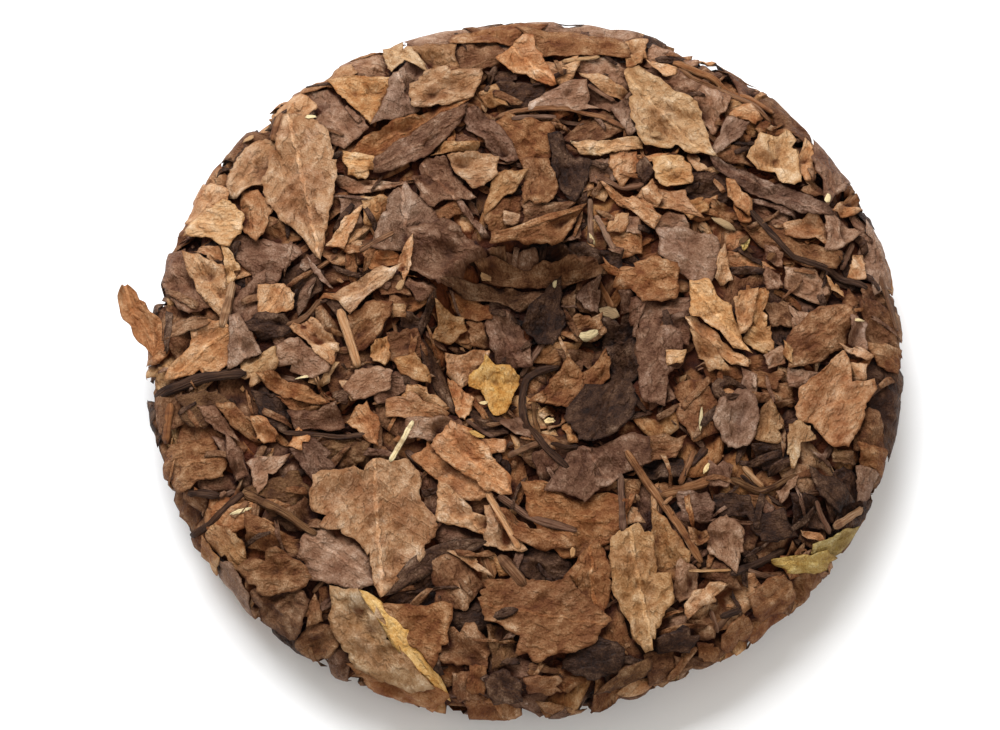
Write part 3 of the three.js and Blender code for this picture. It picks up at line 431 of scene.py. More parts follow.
TOP_LEAVES = (
    ("plum", ((50.5, 53), (60, 48), (67.5, 45.5), (75.5, 41.5), (79.5, 39), (80, 36.5), (76.5, 36),
        (69.5, 38), (61.5, 41.5), (55.5, 46), (51.5, 49.5)), 1.0, -28),
    ("orange", ((54, 46), (56, 45.5), (59.5, 41.5), (60, 38.5), (59.5, 35.5), (56.5, 38), (54, 41))),
    ("light", ((34.5, 52), (37, 53.5), (43.5, 53), (44.5, 49), (44, 45), (38, 44), (34.5, 46))),
    ("light", ((27.5, 79), (31, 80), (39.5, 73.5), (45.5, 69), (47.5, 64), (48.5, 57), (50.5, 53.5),
        (40.5, 55.5), (32.5, 57), (30, 61), (28.5, 70)), 0.7, -50),
    ("light", ((59.5, 53), (63, 60), (67.5, 60), (69.5, 61.5), (72, 59), (72.5, 54.5), (72, 49.5), (73, 46),
        (71.5, 44.5), (67.5, 46.5), (66.5, 49), (62, 49.5)), 0.3, None),
    ("orange", ((-7, 84), (-0.5, 91), (2, 91), (4.5, 85), (8.5, 75), (7.5, 74.5), (0.5, 79),
        (-3, 79.5)), 0.8, -45),
    ("plum", ((-16, 66), (-13.5, 69), (-9, 64), (-5, 60), (-2, 52), (-5, 51.5), (-11, 57.5),
        (-15.5, 62)), 0.5, None),
    ("plum", ((-40, 52.5), (-34.5, 57.5), (-29, 62), (-23, 66), (-16, 69), (-18, 63), (-22, 57.5),
        (-29.5, 51.5), (-37, 49), (-40, 48.5)), 0.6, 35),
    ("tan", ((-21, 53), (-10, 54), (-7, 52.5), (-8, 47.5), (-11, 44), (-14, 43), (-16.5, 46),
        (-19, 49.5)), 0.4, None),
    ("orange", ((19, 46.5), (24.5, 43), (33.5, 38), (35.5, 35), (33.5, 31.5), (29, 35.5),
        (23, 41)), 0.6, -38),
    ("light", ((-49, -71), (-42.5, -72), (-38, -76.5), (-31, -87), (-24, -95), (-30, -96), (-38, -93),
        (-45, -88.5), (-46.5, -84), (-49.5, -80))),
    ("tan", ((-54.5, -40.5), (-46, -39), (-40.5, -37.5), (-30.5, -36.5), (-28.5, -40), (-27, -47.5),
        (-24.5, -52.5), (-24.5, -57), (-27, -62), (-34.5, -70.5), (-37, -72.5), (-39, -68), (-41, -60),
        (-44.5, -56.5), (-49.5, -55), (-52.5, -53.5), (-51, -51), (-54.5, -50), (-55.5, -47.5)), 1.0, -85),
    ("orange", ((-24.5, -32.5), (-22.5, -29.5), (-19, -26), (-14, -28), (-9, -35), (-4.5, -41), (-4.5, -45),
        (-7, -45.5), (-12, -43.5), (-19, -37.5)), 0.7, None),
    ("rust", ((-12.5, -71.5), (-10, -69.5), (0, -69.5), (10, -69), (14, -72.5), (17.5, -76), (20.5, -80),
        (16.5, -85.5), (11, -88), (3.5, -89.5), (-2.5, -87.5), (-1.5, -83.5), (-6, -80.5), (-9.5, -79.5),
        (-11, -76)), 0.8, None),
    ("light", ((22, -59), (24.5, -56), (29, -54.5), (30.5, -57), (33, -57), (33, -62.5), (33.5, -67),
        (37, -67.5), (37.5, -75.5), (35.5, -79), (33, -81.5), (32.5, -87), (30.5, -87.5), (27.5, -83.5),
        (26.5, -80), (23, -73.5), (22, -67.5)), 0.8, -80),
    ("tan", ((43.5, -72), (47.5, -70), (51.5, -71), (49.5, -74.5), (46.5, -76), (42, -79.5), (41, -76))),
    ("rust", ((57.5, -73.5), (62, -69.5), (67, -67), (69.5, -68.5), (71.5, -72.5), (68.5, -76.5),
        (62.5, -79.5), (60, -77))),
    ("rust", ((51.5, -83.5), (56.5, -77.5), (60, -81), (59.5, -84), (53.5, -88.5), (51, -86.5))),
    ("light", ((-91.5, 33), (-89.5, 37), (-85, 40), (-81, 41), (-77.5, 40), (-75.5, 35.5), (-76.5, 31),
        (-79, 27), (-81, 28), (-84, 29.5), (-88.5, 31.5))),
    ("tan", ((-65, 67), (-59, 66), (-53, 60), (-50.5, 49), (-52, 40), (-53, 32), (-54.5, 23), (-59, 29),
        (-68.5, 40), (-70, 46), (-67, 59)), 1.0, -78),
    ("tan", ((-62, 2), (-56.5, 5.5), (-52.5, 1.5), (-49.5, -2), (-49, -6), (-51, -9), (-54, -6.5),
        (-57.5, -2), (-61, 0.5))),
    ("rust", ((-70.5, -11), (-65.5, -11), (-59, -14), (-53.5, -17.5), (-51, -20), (-56.5, -19.5), (-63, -18),
        (-67.5, -14.5)), 0.5, None),
    ("orange", ((-47, -25), (-45, -22), (-41.5, -20.5), (-40.5, -22.5), (-38, -24.5), (-38.5, -32),
        (-41, -30.5), (-45, -26.5))),
    ("mauve", ((-47, -15.5), (-44.5, -10.5), (-39, -9.5), (-35.5, -11.5), (-35.5, -15.5), (-40, -18.5),
        (-45, -19))),
    ("ochre", ((-39.5, -2), (-36.5, -1.5), (-35.5, -6), (-37, -9), (-40, -8), (-41, -4.5))),
    ("tan", ((-33, 20), (-36, 15.5), (-42.5, 10), (-46, 6), (-47.5, 8), (-50.5, 10.5), (-46, 15.5),
        (-39.5, 18.5)), 0.5, None),
    ("tan", ((-6, 36), (-1, 35.5), (-1.5, 32.5), (-5, 32.5))),
    ("rust", ((-8, 30), (0.5, 31.5), (8, 35), (15.5, 37.5), (12.5, 32), (9.5, 27), (5, 27), (-2.5, 27.5),
        (-8.5, 26.5))),
    ("rust", ((25, 18.5), (29.5, 20.5), (34.5, 22.5), (40, 20.5), (40, 10.5), (35.5, 10), (31, 9.5),
        (27.5, 12.5), (24, 15))),
    ("orange", ((24.5, 40), (29.5, 40), (35.5, 35), (34, 31), (30.5, 34))),
    ("yellow", ((-10.5, -1), (-8, -3.5), (-3, -5.5), (-1.5, -7), (-2.5, -11), (-5, -16), (-7, -19.5),
        (-8.5, -19.5), (-9.5, -16), (-11, -11.5), (-15, -10), (-14.5, -7), (-11, -3.5))),
    ("dark", ((11, -16.5), (16, -10.5), (24, -10), (26.5, -13.5), (29, -19.5), (26, -25.5), (21.5, -29.5),
        (14, -30), (11.5, -24))),
    ("ochre", ((-34, -8), (-29, -6.5), (-26, -9), (-25, -14.5), (-28, -14), (-33, -12.5))),
    ("tan", ((53, 26.5), (54.5, 16.5), (52.5, 15.5), (50, 16.5), (51, 22.5))),
    ("light", ((44, 15), (48.5, 15.5), (51, 11), (53.5, 9), (55.5, 3.5), (57, -1.5), (59, -4.5), (54, -2.5),
        (50.5, 1.5), (46, 5), (44, 5), (43.5, 10)), 0.6, None),
    ("tan", ((56, 13), (61.5, 13.5), (61, 9), (59.5, 3.5), (56.5, 0), (55.5, 5), (55, 9))),
    ("tan", ((82.5, -1.5), (88.5, -2), (91.5, -4.5), (89.5, -5.5), (84, -3))),
    ("orange", ((80.5, -7), (84, -4.5), (85, -7), (86, -12.5), (88, -12.5), (91, -11.5), (92, -14),
        (89.5, -19.5), (87.5, -24), (84.5, -30.5), (81, -30.5), (76.5, -26.5), (75.5, -25), (72, -24.5),
        (71.5, -20.5), (72.5, -15.5), (77.5, -11))),
    ("light", ((69, -26), (71.5, -24.5), (74.5, -26), (75.5, -29.5), (72, -31), (71.5, -34.5), (70, -38),
        (68, -35.5), (68.5, -30))),
    ("light", ((37, -5.5), (42, -5), (41.5, -9), (37.5, -9.5))),
)
NAMED_LEAVES = (LOW_LEAVES, MIDDLE_LEAVES, TOP_LEAVES)

# Stalks and folded leaves on the upper side: points on the chart, thickness, tone.
STALKS = (
    (((40, 83), (52, 78), (67, 69)), 2.4, "rust"), (((41, 80), (54, 74.5), (66, 66.5)), 1.8, "umber"),
    (((26, -34), (35, -48), (45.5, -65)), 2.6, "rust"), (((24.5, -40), (24.8, -56)), 2.1, "plum"),
    (((-99, -14.5), (-92, -13), (-82, -10.5), (-73, -10)), 3.6, "dark"),
    (((-78, 16.5), (-80.5, 3)), 3.0, "tan"),
    (((-63, 3), (-53.5, 10)), 2.2, "umber"), (((-49, 7), (-43.5, -9)), 3.2, "tan"),
    (((-63, -27.7), (-42, -29.3)), 1.6, "dark"), (((-93.5, -17.5), (-95, -28)), 3.3, "rust"),
    (((-73, -44), (-62, -50), (-54, -56)), 2.5, "olive"), (((-73, -44), (-81, -51), (-95, -55)), 2.0, "dark"),
    (((-8, 65), (-2.5, 67.3), (4.5, 68), (13.5, 67.3), (21.5, 64.7), (27, 61.5)), 2.0, "umber"),
    (((-3.5, 64.5), (4.5, 65.5), (16, 64)), 1.6, "plum"), (((17.3, 40), (17.6, 27)), 1.9, "mauve"),
    (((18.7, 35), (23.5, 24.5)), 1.8, "mauve"), (((-7, -62.5), (-0.5, -70.5)), 3.4, "umber"),
    (((0.5, -91), (8.5, -93)), 2.2, "umber"), (((35, -46), (47.6, -42)), 3.0, "rust"),
    (((40, -43), (44, -33)), 1.8, "umber"), (((53, -41.5), (61.5, -44.5), (70.5, -40)), 2.2, "olive"),
    (((76, -46.5), (80, -55)), 2.2, "plum"), (((81, -53), (91, -46.5)), 2.6, "tan"),
    (((53, -68), (68, -60)), 2.5, "dark"), (((42, -67), (53, -67)), 1.0, "light"),
    (((60, 37), (64.5, 30.5), (70.5, 23), (80, 20.5), (90.5, 15.5)), 2.2, "dark"),
    (((88, 30), (84, 21)), 2.0, "plum"), (((2, -15), (3.7, -29)), 1.5, "olive"),
    (((9, -3.7), (4.3, -4.3), (0, -7), (-1, -13.5), (0.5, -24), (4.3, -32), (11, -38.5)), 2.6, "dark"),
    (((6.4, -32), (14, -32.3)), 1.4, "dark"), (((-15.5, -25), (-8.5, -29.3)), 1.6, "plum"),
    (((-29.3, -25.6), (-35.2, -36.8)), 1.7, "cream"), (((-10, -45.5), (-2, -61)), 2.0, "tan"),
    (((-7, -46), (3, -53.5), (13, -56)), 2.4, "plum"), (((-66, 69), (-68, 60)), 2.8, "umber"),
    (((95, 20), (99, 5)), 2.4, "umber"), (((56.5, -37), (62, -43)), 1.8, "tan"),
    (((-35, 30), (-44, 24)), 1.8, "umber"), (((48, -77), (50, -83)), 1.5, "plum"),
    (((50.5, -79), (55.5, -77)), 2.0, "dark"), (((35.3, -48.7), (38, -46.5)), 1.2, "orange"),
    (((-88, -42.5), (-79, -44)), 2.4, "dark"), (((19.2, 46.5), (25, 44), (31.5, 44.4)), 2.2, "plum"),
    (((10, 82.3), (20.3, 83.9)), 1.5, "light"), (((17, 74.8), (24, 70.5)), 1.6, "plum"),
)
# Leaves rolled up or folded lengthwise.
ROLLS = (
    (((-36, -73), (-27, -64.5), (-19, -60.5), (-10, -58.5)), 4.8, "dark"),
    (((-27, -1), (-23.5, -10), (-18.5, -22)), 4.5, "dark"),
    (((-42.5, -71), (-38, -75.5), (-33, -81), (-28, -87.5), (-23, -93), (-19.5, -99)), 4.4, "yellow"),
    (((58, -15), (53, -12), (49, -15), (52, -18), (56, -17)), 2.4, "dark"),
    (((-8, 29.5), (2, 32), (15, 36.5)), 1.8, "rust"), (((-97, 1), (-90, 4), (-83, 5)), 3.4, "umber"),
    (((-8.5, -79), (-2, -77)), 2.5, "dark"),
)
# Buds with their down: from, to, thickness, tone.
BUDS = (
    ((19.5, 12.5), (25, 8), 2.4, "silver"), ((49.5, 34.5), (56, 31.5), 2.4, "silver"),
    ((46, -40), (48, -36.6), 1.4, "cream"), ((46, -21), (45.5, -28), 1.0, "cream"),
    ((-76, -49.7), (-70.3, -48.7), 1.2, "cream"), ((-60.5, -12), (-55.5, -12.3), 0.9, "cream"),
    ((86, 5), (89.5, 5.2), 0.9, "cream"), ((17, 30), (18.5, 27), 1.1, "cream"),
)
# Pale torn flakes: middle, heading, length, width, tone.
FLAKES = (
    (17, 5, 10, 6, 2.6, "cream"), (6.5, -20, 40, 4, 2.0, "cream"), (-11, -15, 10, 2.2, 1.2, "cream"),
    (80, 41, 80, 3, 1.5, "cream"), (-12.5, -29.3, -20, 4.5, 1.6, "yellow"), (65, 23, 40, 3, 1.8, "olive"),
    (-57.5, 66, 0, 3, 1.3, "cream"), (58, 28, 50, 3.4, 1.8, "olive"), (-75, 62, 30, 3, 1.8, "light"),
    (-10.5, 20.5, 0, 3, 1.3, "light"), (8, 20, 80, 2.6, 1.4, "cream"), (-33, 14, 60, 3, 1.6, "light"),
    (35, 60, 20, 3.4, 1.8, "light"), (12, -62, 80, 2.6, 1.6, "light"),
)
# The leaf that sticks out of the edge on the left: the points of its middle line.
STRAY_LINE = ((-88, -6, 14.5), (-97, 1, 17.5), (-101, 7, 19), (-105, 12, 19.5), (-106.5, 18, 20.5))
STRAY_WIDTH = 7.5
STRAY_THICKNESS = 0.45
STRAY_STEP, STRAY_ACROSS = 0.9, 11  # spacing along it and points across it
STRAY_LAYERS = (("orange", 0.0, 1.0), ("umber", -1.5, 0.8))  # tone, lift, share of the width

# Rounds of filling leaves, lowest first: number on the top and on the underside, length, share of the length
# that the width is, spacing of the outline's points, rings of a sheet, and how much it is crumpled.
FILL_ROUNDS = (
    {"count": (900, 700), "length": (4, 9), "aspect": (0.4, 0.8), "step": 1.9, "rings": 2, "crumple": 0.5},
    {"count": (800, 800), "length": (8, 16), "aspect": (0.4, 0.85), "step": 2.0, "rings": 3, "crumple": 0.8},
    {"count": (300, 300), "length": (9, 22), "aspect": (0.14, 0.32), "step": 2.2, "rings": 2, "crumple": 0.6},
    {"count": (360, 420), "length": (13, 26), "aspect": (0.45, 0.85), "step": 2.2, "rings": 4,
     "crumple": 1.1},
    {"count": (80, 60), "length": (5, 10), "aspect": (0.4, 0.8), "step": 1.8, "rings": 2, "crumple": 0.5},
)
FILL_FORMS = ("torn", "torn", "torn", "square", "wedge", "blade", "strip")
FILL_TONES = {
    "tan": 9, "light": 2, "ochre": 9, "orange": 10, "rust": 24, "umber": 24, "plum": 15, "dark": 6,
    "olive": 1,
}

# What else is laid by rule: number on the top and on the underside, how far out, sizes and tones.
FILL_STALKS, STALK_REACH = (80, 110), 100
FILL_STALK_HALF, FILL_STALK_THICK = (3, 10), (1.0, 2.0)
FILL_STALK_TONES = ("umber", "dark", "rust", "plum", "umber")
STALK_PRESS = 0.85  # thickness of a pressed stalk, as a share of the one that shows from above
FILL_ROLLS, ROLL_REACH = (150, 120), 100
FILL_ROLL_LENGTH, FILL_ROLL_THICK, FILL_ROLL_BEND = (8, 20), (1.6, 3.4), 0.05
FILL_ROLL_TONES = ("umber", "dark", "rust", "plum", "umber", "dark", "tan")
CRUMBS, CRUMB_REACH = (1300, 1000), 102
CRUMB_SIZE, CRUMB_SIDES, CRUMB_THINNESS = (1.0, 3.4), 5, 0.7
CRUMB_TONES = ("umber", "dark", "rust", "umber", "plum", "dark", "rust", "ochre")
SLIVERS, SLIVER_REACH = 330, 99
SLIVER_LENGTH, SLIVER_WIDTH, SLIVER_CRUMPLE = (4, 13), (0.8, 2.6), 0.6
SLIVER_TONES = ("umber", "plum", "dark", "rust", "umber", "dark")
FLAKE_STAND = 0.2

# Darker patches of the upper side: middle on the chart, reach, and how much darker.
# The patch at (2, 17) paints the shade under the hollow's far rim; the others darken the leaves there.
DARK_AND_SHADE_PATCHES = (
    (-84, -13, 18, 0.15), (24, -22, 22, 0.2), (68, -36, 26, 0.2), (-12, -68, 12, 0.15), (35, -92, 30, 0.25),
    (2, 17, 18, 0.3), (-24, -2, 12, 0.15), (-60, -92, 30, 0.25), (80, 20, 16, 0.1),
)

# Which tones go into one piece.
LEAF_PIECES = {
    "tan_leaves": ("tan", "light"), "ochre_leaves": ("ochre", "yellow"), "orange_leaves": ("orange",),
    "rust_leaves": ("rust",), "umber_leaves": ("umber",), "plum_leaves": ("plum", "mauve"),
    "dark_leaves": ("dark", "olive", "moss"),
}
SMOOTH_PIECES = ("plum_leaves", "dark_leaves")
HUE_SPREAD = 0.07  # share by which leaves of one tone differ between redder and yellower

# --- Looks ---
SPECULAR = 0.16  # dry leaf hardly shines
BLOOM_TINT = (0.84, 0.78, 0.8, 1)
MIDRIB_TINT = (1.5, 1.55, 1.6, 1)
# Painted shade: the next two tints darken leaves and stalks where they lie deep among their neighbours.
LEAF_SHADE_TINT = (0.22, 0.1, 0.04, 1)
STALK_SHADE_TINT = (0.3, 0.18, 0.1, 1)
JOINT_TINT = (0.5, 0.4, 0.34, 1)
CORE_TINT = (1, 0.95, 0.9, 1)
SPECK_TINT = (2.0, 1.7, 1.5, 1)

# --- The stage: places in metres, the floor in millimetres ---
KEY_PLACE, KEY_COLOUR = (-0.35, 0.95, 1.15), (0.97, 1.0, 1.04)
FILL_PLACE = (0.4, -1.0, 1.2)
LIGHT_SIZE = 1.2
SKY_COLOUR = (1, 0.95, 0.88, 1)
FLOOR_HALF = 6000.0
SENSOR_WIDTH = 36.0

TURN = 2 * math.pi  # a whole turn
NO_TRIANGLES = np.zeros((0, 3), int)
NO_QUADS = np.zeros((0, 4), int)
MIX_A, MIX_B, MIX_RESULT = 6, 7, 2  # numbers of a Mix node's colour sockets


def ease(t):
    """Smooth step: 3 t^2 - 2 t^3, held at 0 and 1."""
    t = np.clip(t, 0.0, 1.0)
    return t * t * (3.0 - 2.0 * t)


# --- The cake's own surface ---

def unit(rows):
    """Rows of vectors, each made one long."""
    return rows / np.linalg.norm(rows, axis=1, keepdims=True)


def quarter(r, height, start, end, steps=300):
    """A quarter ellipse of the section round (r, GIRTH_HEIGHT): rows of r, z and the outward direction."""
    a = np.linspace(start, end, steps)
    reach = RADIUS - r
    out = unit(np.column_stack([np.cos(a) / reach, np.sin(a) / height]))
    return np.column_stack([r + reach * np.cos(a), GIRTH_HEIGHT + height * np.sin(a), out])


def make_section():
    """The round cake's section from the middle of the top, over the edge, to the middle of the underside.

    Returns the way along it and rows of r, z and outward direction. The crown is a parabola, and its way
    is its radius; shoulder and underside are quarter ellipses; the rest face is flat.
    """
    r = np.linspace(0.0, SHOULDER_RADIUS, 200)
    z = SHOULDER_HEIGHT + (CROWN_HEIGHT - SHOULDER_HEIGHT) * (1 - (r / SHOULDER_RADIUS) ** 2)
    crown = np.column_stack([r, z, 0 * r, 0 * r + 1])
    shoulder = quarter(SHOULDER_RADIUS, SHOULDER_HEIGHT - GIRTH_HEIGHT, math.pi / 2, 0)[1:]
    under = quarter(REST_RADIUS, GIRTH_HEIGHT, 0, -math.pi / 2)[1:]
    rows = np.vstack([crown, shoulder, under, [[0, 0, 0, -1]]])
    steps = np.hypot(np.diff(rows[:, 0]), np.diff(rows[:, 1]))
    steps[:len(r) - 1] = np.diff(r)
    return np.r_[0, np.cumsum(steps)], rows


WAYS, SECTION = make_section()
WHOLE_WAY = WAYS[-1]
REST_WAY = WHOLE_WAY - REST_RADIUS


def hollow_depth(x, y):
    """Depth of the hollow: an eased wall from its floor to a rim that is nearer on the far side."""
    dx, dy = x - HOLLOW_X, y - HOLLOW_Y
    distance = np.hypot(dx, dy)
    far = dy / np.maximum(distance, 1e-6)
    rim = (HOLLOW_FAR_RIM + HOLLOW_NEAR_RIM) / 2 + (HOLLOW_FAR_RIM - HOLLOW_NEAR_RIM) / 2 * far
    return HOLLOW_DEPTH * ease((rim - distance) / (rim - HOLLOW_FLOOR))


def lump(x, y):
    """Uneven pressing: two crossing waves, the first of which is bent."""
    k = TURN / LUMP_LENGTH
    return LUMP_HEIGHT * np.sin(k * x + 1.1 * np.cos(0.6 * k * y)) * np.cos(0.8 * k * y + 0.9)


def surface(x, y, lift, under):
    """Points of the cake at chart places (x, y), lift out of its surface.

    A chart place is a way out from the middle of its side and an angle. The round section there is swelled
    by the outline's waves, lifted along its outward direction, and lowered by the hollow on the top. Near
    the rest face leaves are pressed flat, so a lift is eased down to the face.
    """
    way = np.hypot(x, y)
    way = WHOLE_WAY - way if under else way
    angle = np.arctan2(y, x)
    r, z, out_r, out_z = (np.interp(way, WAYS, column) for column in SECTION.T)
    swell = sum(share * np.cos(waves * (angle - math.radians(crest)))
                for waves, share, crest in OUTLINE_WAVES)
    r = r * (1 + swell * ease((r - OUTLINE_START) / (RADIUS - OUTLINE_START)))
    flat = ease((way - REST_WAY + FLAT_RUN) / FLAT_RUN)
    flattened = -np.logaddexp(0, -FLAT_HARDNESS * lift) / FLAT_HARDNESS
    lift = lift * (1 - flat) + flattened * flat
    px, py = (r + out_r * lift) * np.cos(angle), (r + out_r * lift) * np.sin(angle)
    dent = np.where(way < SHOULDER_RADIUS, hollow_depth(px, py), 0)
    z = z + out_z * (lift + lump(px, py) * (1 - flat)) - dent
    return np.stack([px, py, np.maximum(z, 0.0)], -1)


def pressed(lift):
    """Lifts out of the surface, pressed together the more they stray from it."""
    return lift / (1 + np.abs(lift) / np.where(lift > 0, PRESS_UP, PRESS_DOWN))


# --- The height map ---

def grown(heights, reach):
    """The highest value within reach cells along each axis."""
    for axis in (0, 1):
        for step in range(1, reach + 1):
            head, tail = [slice(None)] * 2, [slice(None)] * 2
            head[axis], tail[axis] = slice(step, None), slice(None, -step)
            out = heights.copy()
            np.maximum(out[tuple(tail)], heights[tuple(head)], out=out[tuple(tail)])
            np.maximum(out[tuple(head)], heights[tuple(tail)], out=out[tuple(head)])
        heights = out
    return heights


def blurred(heights, reach):
    """The mean over a square of reach cells each way, from running sums."""
    for axis in (0, 1):
        pad = [(0, 0), (0, 0)]
        pad[axis] = (reach + 1, reach)
        sums = np.cumsum(np.pad(heights, pad, mode="edge"), axis=axis)
        high = np.take(sums, np.arange(2 * reach + 1, sums.shape[axis]), axis=axis)
        low = np.take(sums, np.arange(0, sums.shape[axis] - 2 * reach - 1), axis=axis)
        heights = (high - low) / (2 * reach + 1)
    return heights


def cell_of(place):
    """Numbers of the cells that places fall in."""
    return ((place + MAP_HALF) / CELL).astype(int)


def sampled(heights, x, y, x0=-MAP_HALF, y0=-MAP_HALF):
    """Values between cells, mixed from the four nearest, of a map or a window that starts at (x0, y0)."""
    u = np.clip((x - x0) / CELL, 0, heights.shape[1] - 1.001)
    v = np.clip((y - y0) / CELL, 0, heights.shape[0] - 1.001)
    i, j = u.astype(int), v.astype(int)
    du, dv = u - i, v - j
    near = heights[j, i] * (1 - du) + heights[j, i + 1] * du
    far = heights[j + 1, i] * (1 - du) + heights[j + 1, i + 1] * du
    return near * (1 - dv) + far * dv


class Side:
    """One side of the cake while it is laid: its height map and the shapes that lie on it."""

    def __init__(self, under):
        self.under = under
        self.heights = np.zeros((MAP_SIDE, MAP_SIDE))
        self.shapes = []

    def window(self, x, y, margin):
        """The part of the map round some places: its slices, and its cells' places."""
        low = np.array([y.min() - margin, x.min() - margin])
        high = np.array([y.max() + margin, x.max() + margin])
        first = np.clip(cell_of(low), 0, MAP_SIDE - 3)
        last = np.clip(cell_of(high) + 2, first + 2, MAP_SIDE)
        rows, columns = (slice(a, b) for a, b in zip(first, last))
        gx = np.arange(first[1], last[1]) * CELL - MAP_HALF
        gy = np.arange(first[0], last[0]) * CELL - MAP_HALF
        return (rows, columns), *np.meshgrid(gx, gy)

    def broad(self, reach):
        """The map's heights blurred twice. The widest are taken off again, to keep the cake's form."""
        return blurred(blurred(self.heights, reach), reach)


def across_the_edge(side, from_side):
    """Carries one side's heights over the girth on to the other side's map."""
    axis = np.arange(MAP_SIDE) * CELL - MAP_HALF
    x, y = np.meshgrid(axis, axis)
    way = np.hypot(x, y)
    other = np.maximum(WHOLE_WAY - way, 0) / np.maximum(way, 1)
    there = sampled(from_side.heights, x * other, y * other)
    side.heights = np.where(way > SEAM_WAY, np.maximum(side.heights, there), side.heights)


# --- Leaves ---

@lru_cache(maxsize=None)
def sheet_faces(rings, spokes):
    """Corner numbers of a closed sheet: the faces' triangles, their quads, and the rim's quads."""
    k = np.arange(spokes)
    following = (k + 1) % spokes
    half = 1 + rings * spokes
    fan = np.stack([0 * k, 1 + k, 1 + following], 1)
    inside = 1 + spokes * np.arange(rings - 1)[:, None]
    quads = np.stack([inside + k, inside + spokes + k, inside + spokes + following, inside + following], -1)
    quads = quads.reshape(-1, 4)
    last = 1 + (rings - 1) * spokes
    rim = np.stack([half + last + k, half + last + following, last + following, last + k], 1)
    return np.vstack([fan, half + fan[:, ::-1]]), np.vstack([quads, half + quads[:, ::-1]]), rim


def outlined(corners, step, rng, wobble, teeth, tears=0):
    """Points along the edges of a polygon about a step apart, made as uneven as a torn leaf.

    The way from the middle is multiplied by slow waves round the outline. It is changed by small teeth, each
    point for itself and in two rows of short waves, and by tears, which are narrow notches. Teeth and tears
    are millimetres deep.
    """
    corners = np.asarray(corners, float)
    following = np.roll(corners, -1, 0)
    counts = np.maximum(np.round(np.linalg.norm(following - corners, axis=1) / step), 1).astype(int)
    edges = zip(corners, following, counts)
    points = np.vstack([a + (b - a) * (np.arange(n) / n)[:, None] for a, b, n in edges])
    count = len(points)
    turn = TURN * np.arange(count) / count
    way = np.linalg.norm(points, axis=1)
    swell = sum(rng.uniform(-1, 1) * np.cos(waves * turn + rng.uniform(*PHASE)) for waves in SWELLS)
    change = wobble * way * swell
    single = rng.uniform(-1, 1, count)
    change += teeth * (single + 0.7 * np.cos(count // TEETH_SHORT * turn + rng.uniform(*PHASE)))
    change += teeth * np.cos(count // TEETH_LONG * turn + rng.uniform(*PHASE))
    for _ in range(tears):
        apart = (turn - rng.uniform(0, TURN) + math.pi) % TURN - math.pi
        change -= rng.uniform(*TEAR_DEPTH) * np.exp(-(apart * count / 6) ** 2)
    return points * np.maximum(1 + change / way, 0.3)[:, None]


def wave_field(rng, amplitude, shortest, longest, count=6):
    """A crumpled field of about the amplitude, as a function of along and across.

    It is the sum of crossing waves, each bent by a slower one, and every other one creased like a fold.
    """
    k = TURN / rng.uniform(shortest, longest, count)
    turn = rng.uniform(0, TURN, count)
    phase = rng.uniform(0, TURN, count)
    wobble = rng.uniform(0, TURN, count)

    def field(a, b):
        along = k * (a[..., None] * np.cos(turn) + b[..., None] * np.sin(turn)) + phase
        aside = b[..., None] * np.cos(turn) - a[..., None] * np.sin(turn)
        along = along + 0.8 * np.sin(0.37 * k * aside + wobble)
        waves = 0.5 + 0.5 * np.sin(along)
        waves[..., ::2] = 1 - np.abs(np.sin(0.5 * along[..., ::2]))
        return amplitude * waves.sum(-1) / math.sqrt(count)

    return field


def leaf_bend(rng, width, crumple, rib):
    """How a leaf stands up from what it lies on, as a function of along, across and the share to its rim.

    A crumpled field of which only the crests stand up, folds like low tents along wandering lines, a valley
    at the midrib with bulges between its side veins, and a rim that is pressed down but curls up on one side.
    """
    half = 0.5 * width
    crest = crumple * min(CREST_SHARE * width, CREST_MOST)
    broad = wave_field(rng, crest, min(5, 0.5 * width + 2), min(11, width + 4), 5)
    fine = wave_field(rng, 0.5 * crumple, *FINE_CRUMPLES)
    curl = crumple * rng.uniform(0.0, 1.3) ** 2
    curl_turn = rng.uniform(0, TURN)
    pressing = RIM_PRESS * min(width / RIM_PRESS_WIDTH, 1)
    folds = [(rng.normal(0, 0.5), rng.uniform(-0.7, 0.7) * half, crumple * rng.uniform(0.3, 1.3),
              rng.uniform(1.0, 0.9 + 0.16 * width), rng.uniform(*PHASE)) for _ in range(1 + int(width / 5))]
    valley = crumple * rng.uniform(0.0, 0.3)

    def bend(a, b, share):
        towards = np.cos(np.arctan2(b, a) - curl_turn)
        height = np.maximum(broad(a, b) - CREST_LEVEL * crest, 0) + fine(a, b)
        for turn, offset, rise, reach, phase in folds:
            line = b * math.cos(turn) - a * math.sin(turn) - offset + 0.5 * np.sin(0.45 * a + phase)
            height = height + rise * np.maximum(1 - np.abs(line) / reach, 0)
        height = height * (1 - pressing * share ** 3) + curl * share ** 3 * np.maximum(towards, 0) ** 2
        height = height + valley * np.minimum(np.abs(b) / half, 1) * rib
        return height + VEIN_RISE * rib * np.cos(TURN * (VEINS * (a - VEIN_SLANT * np.abs(b)) - 0.5))

    return bend


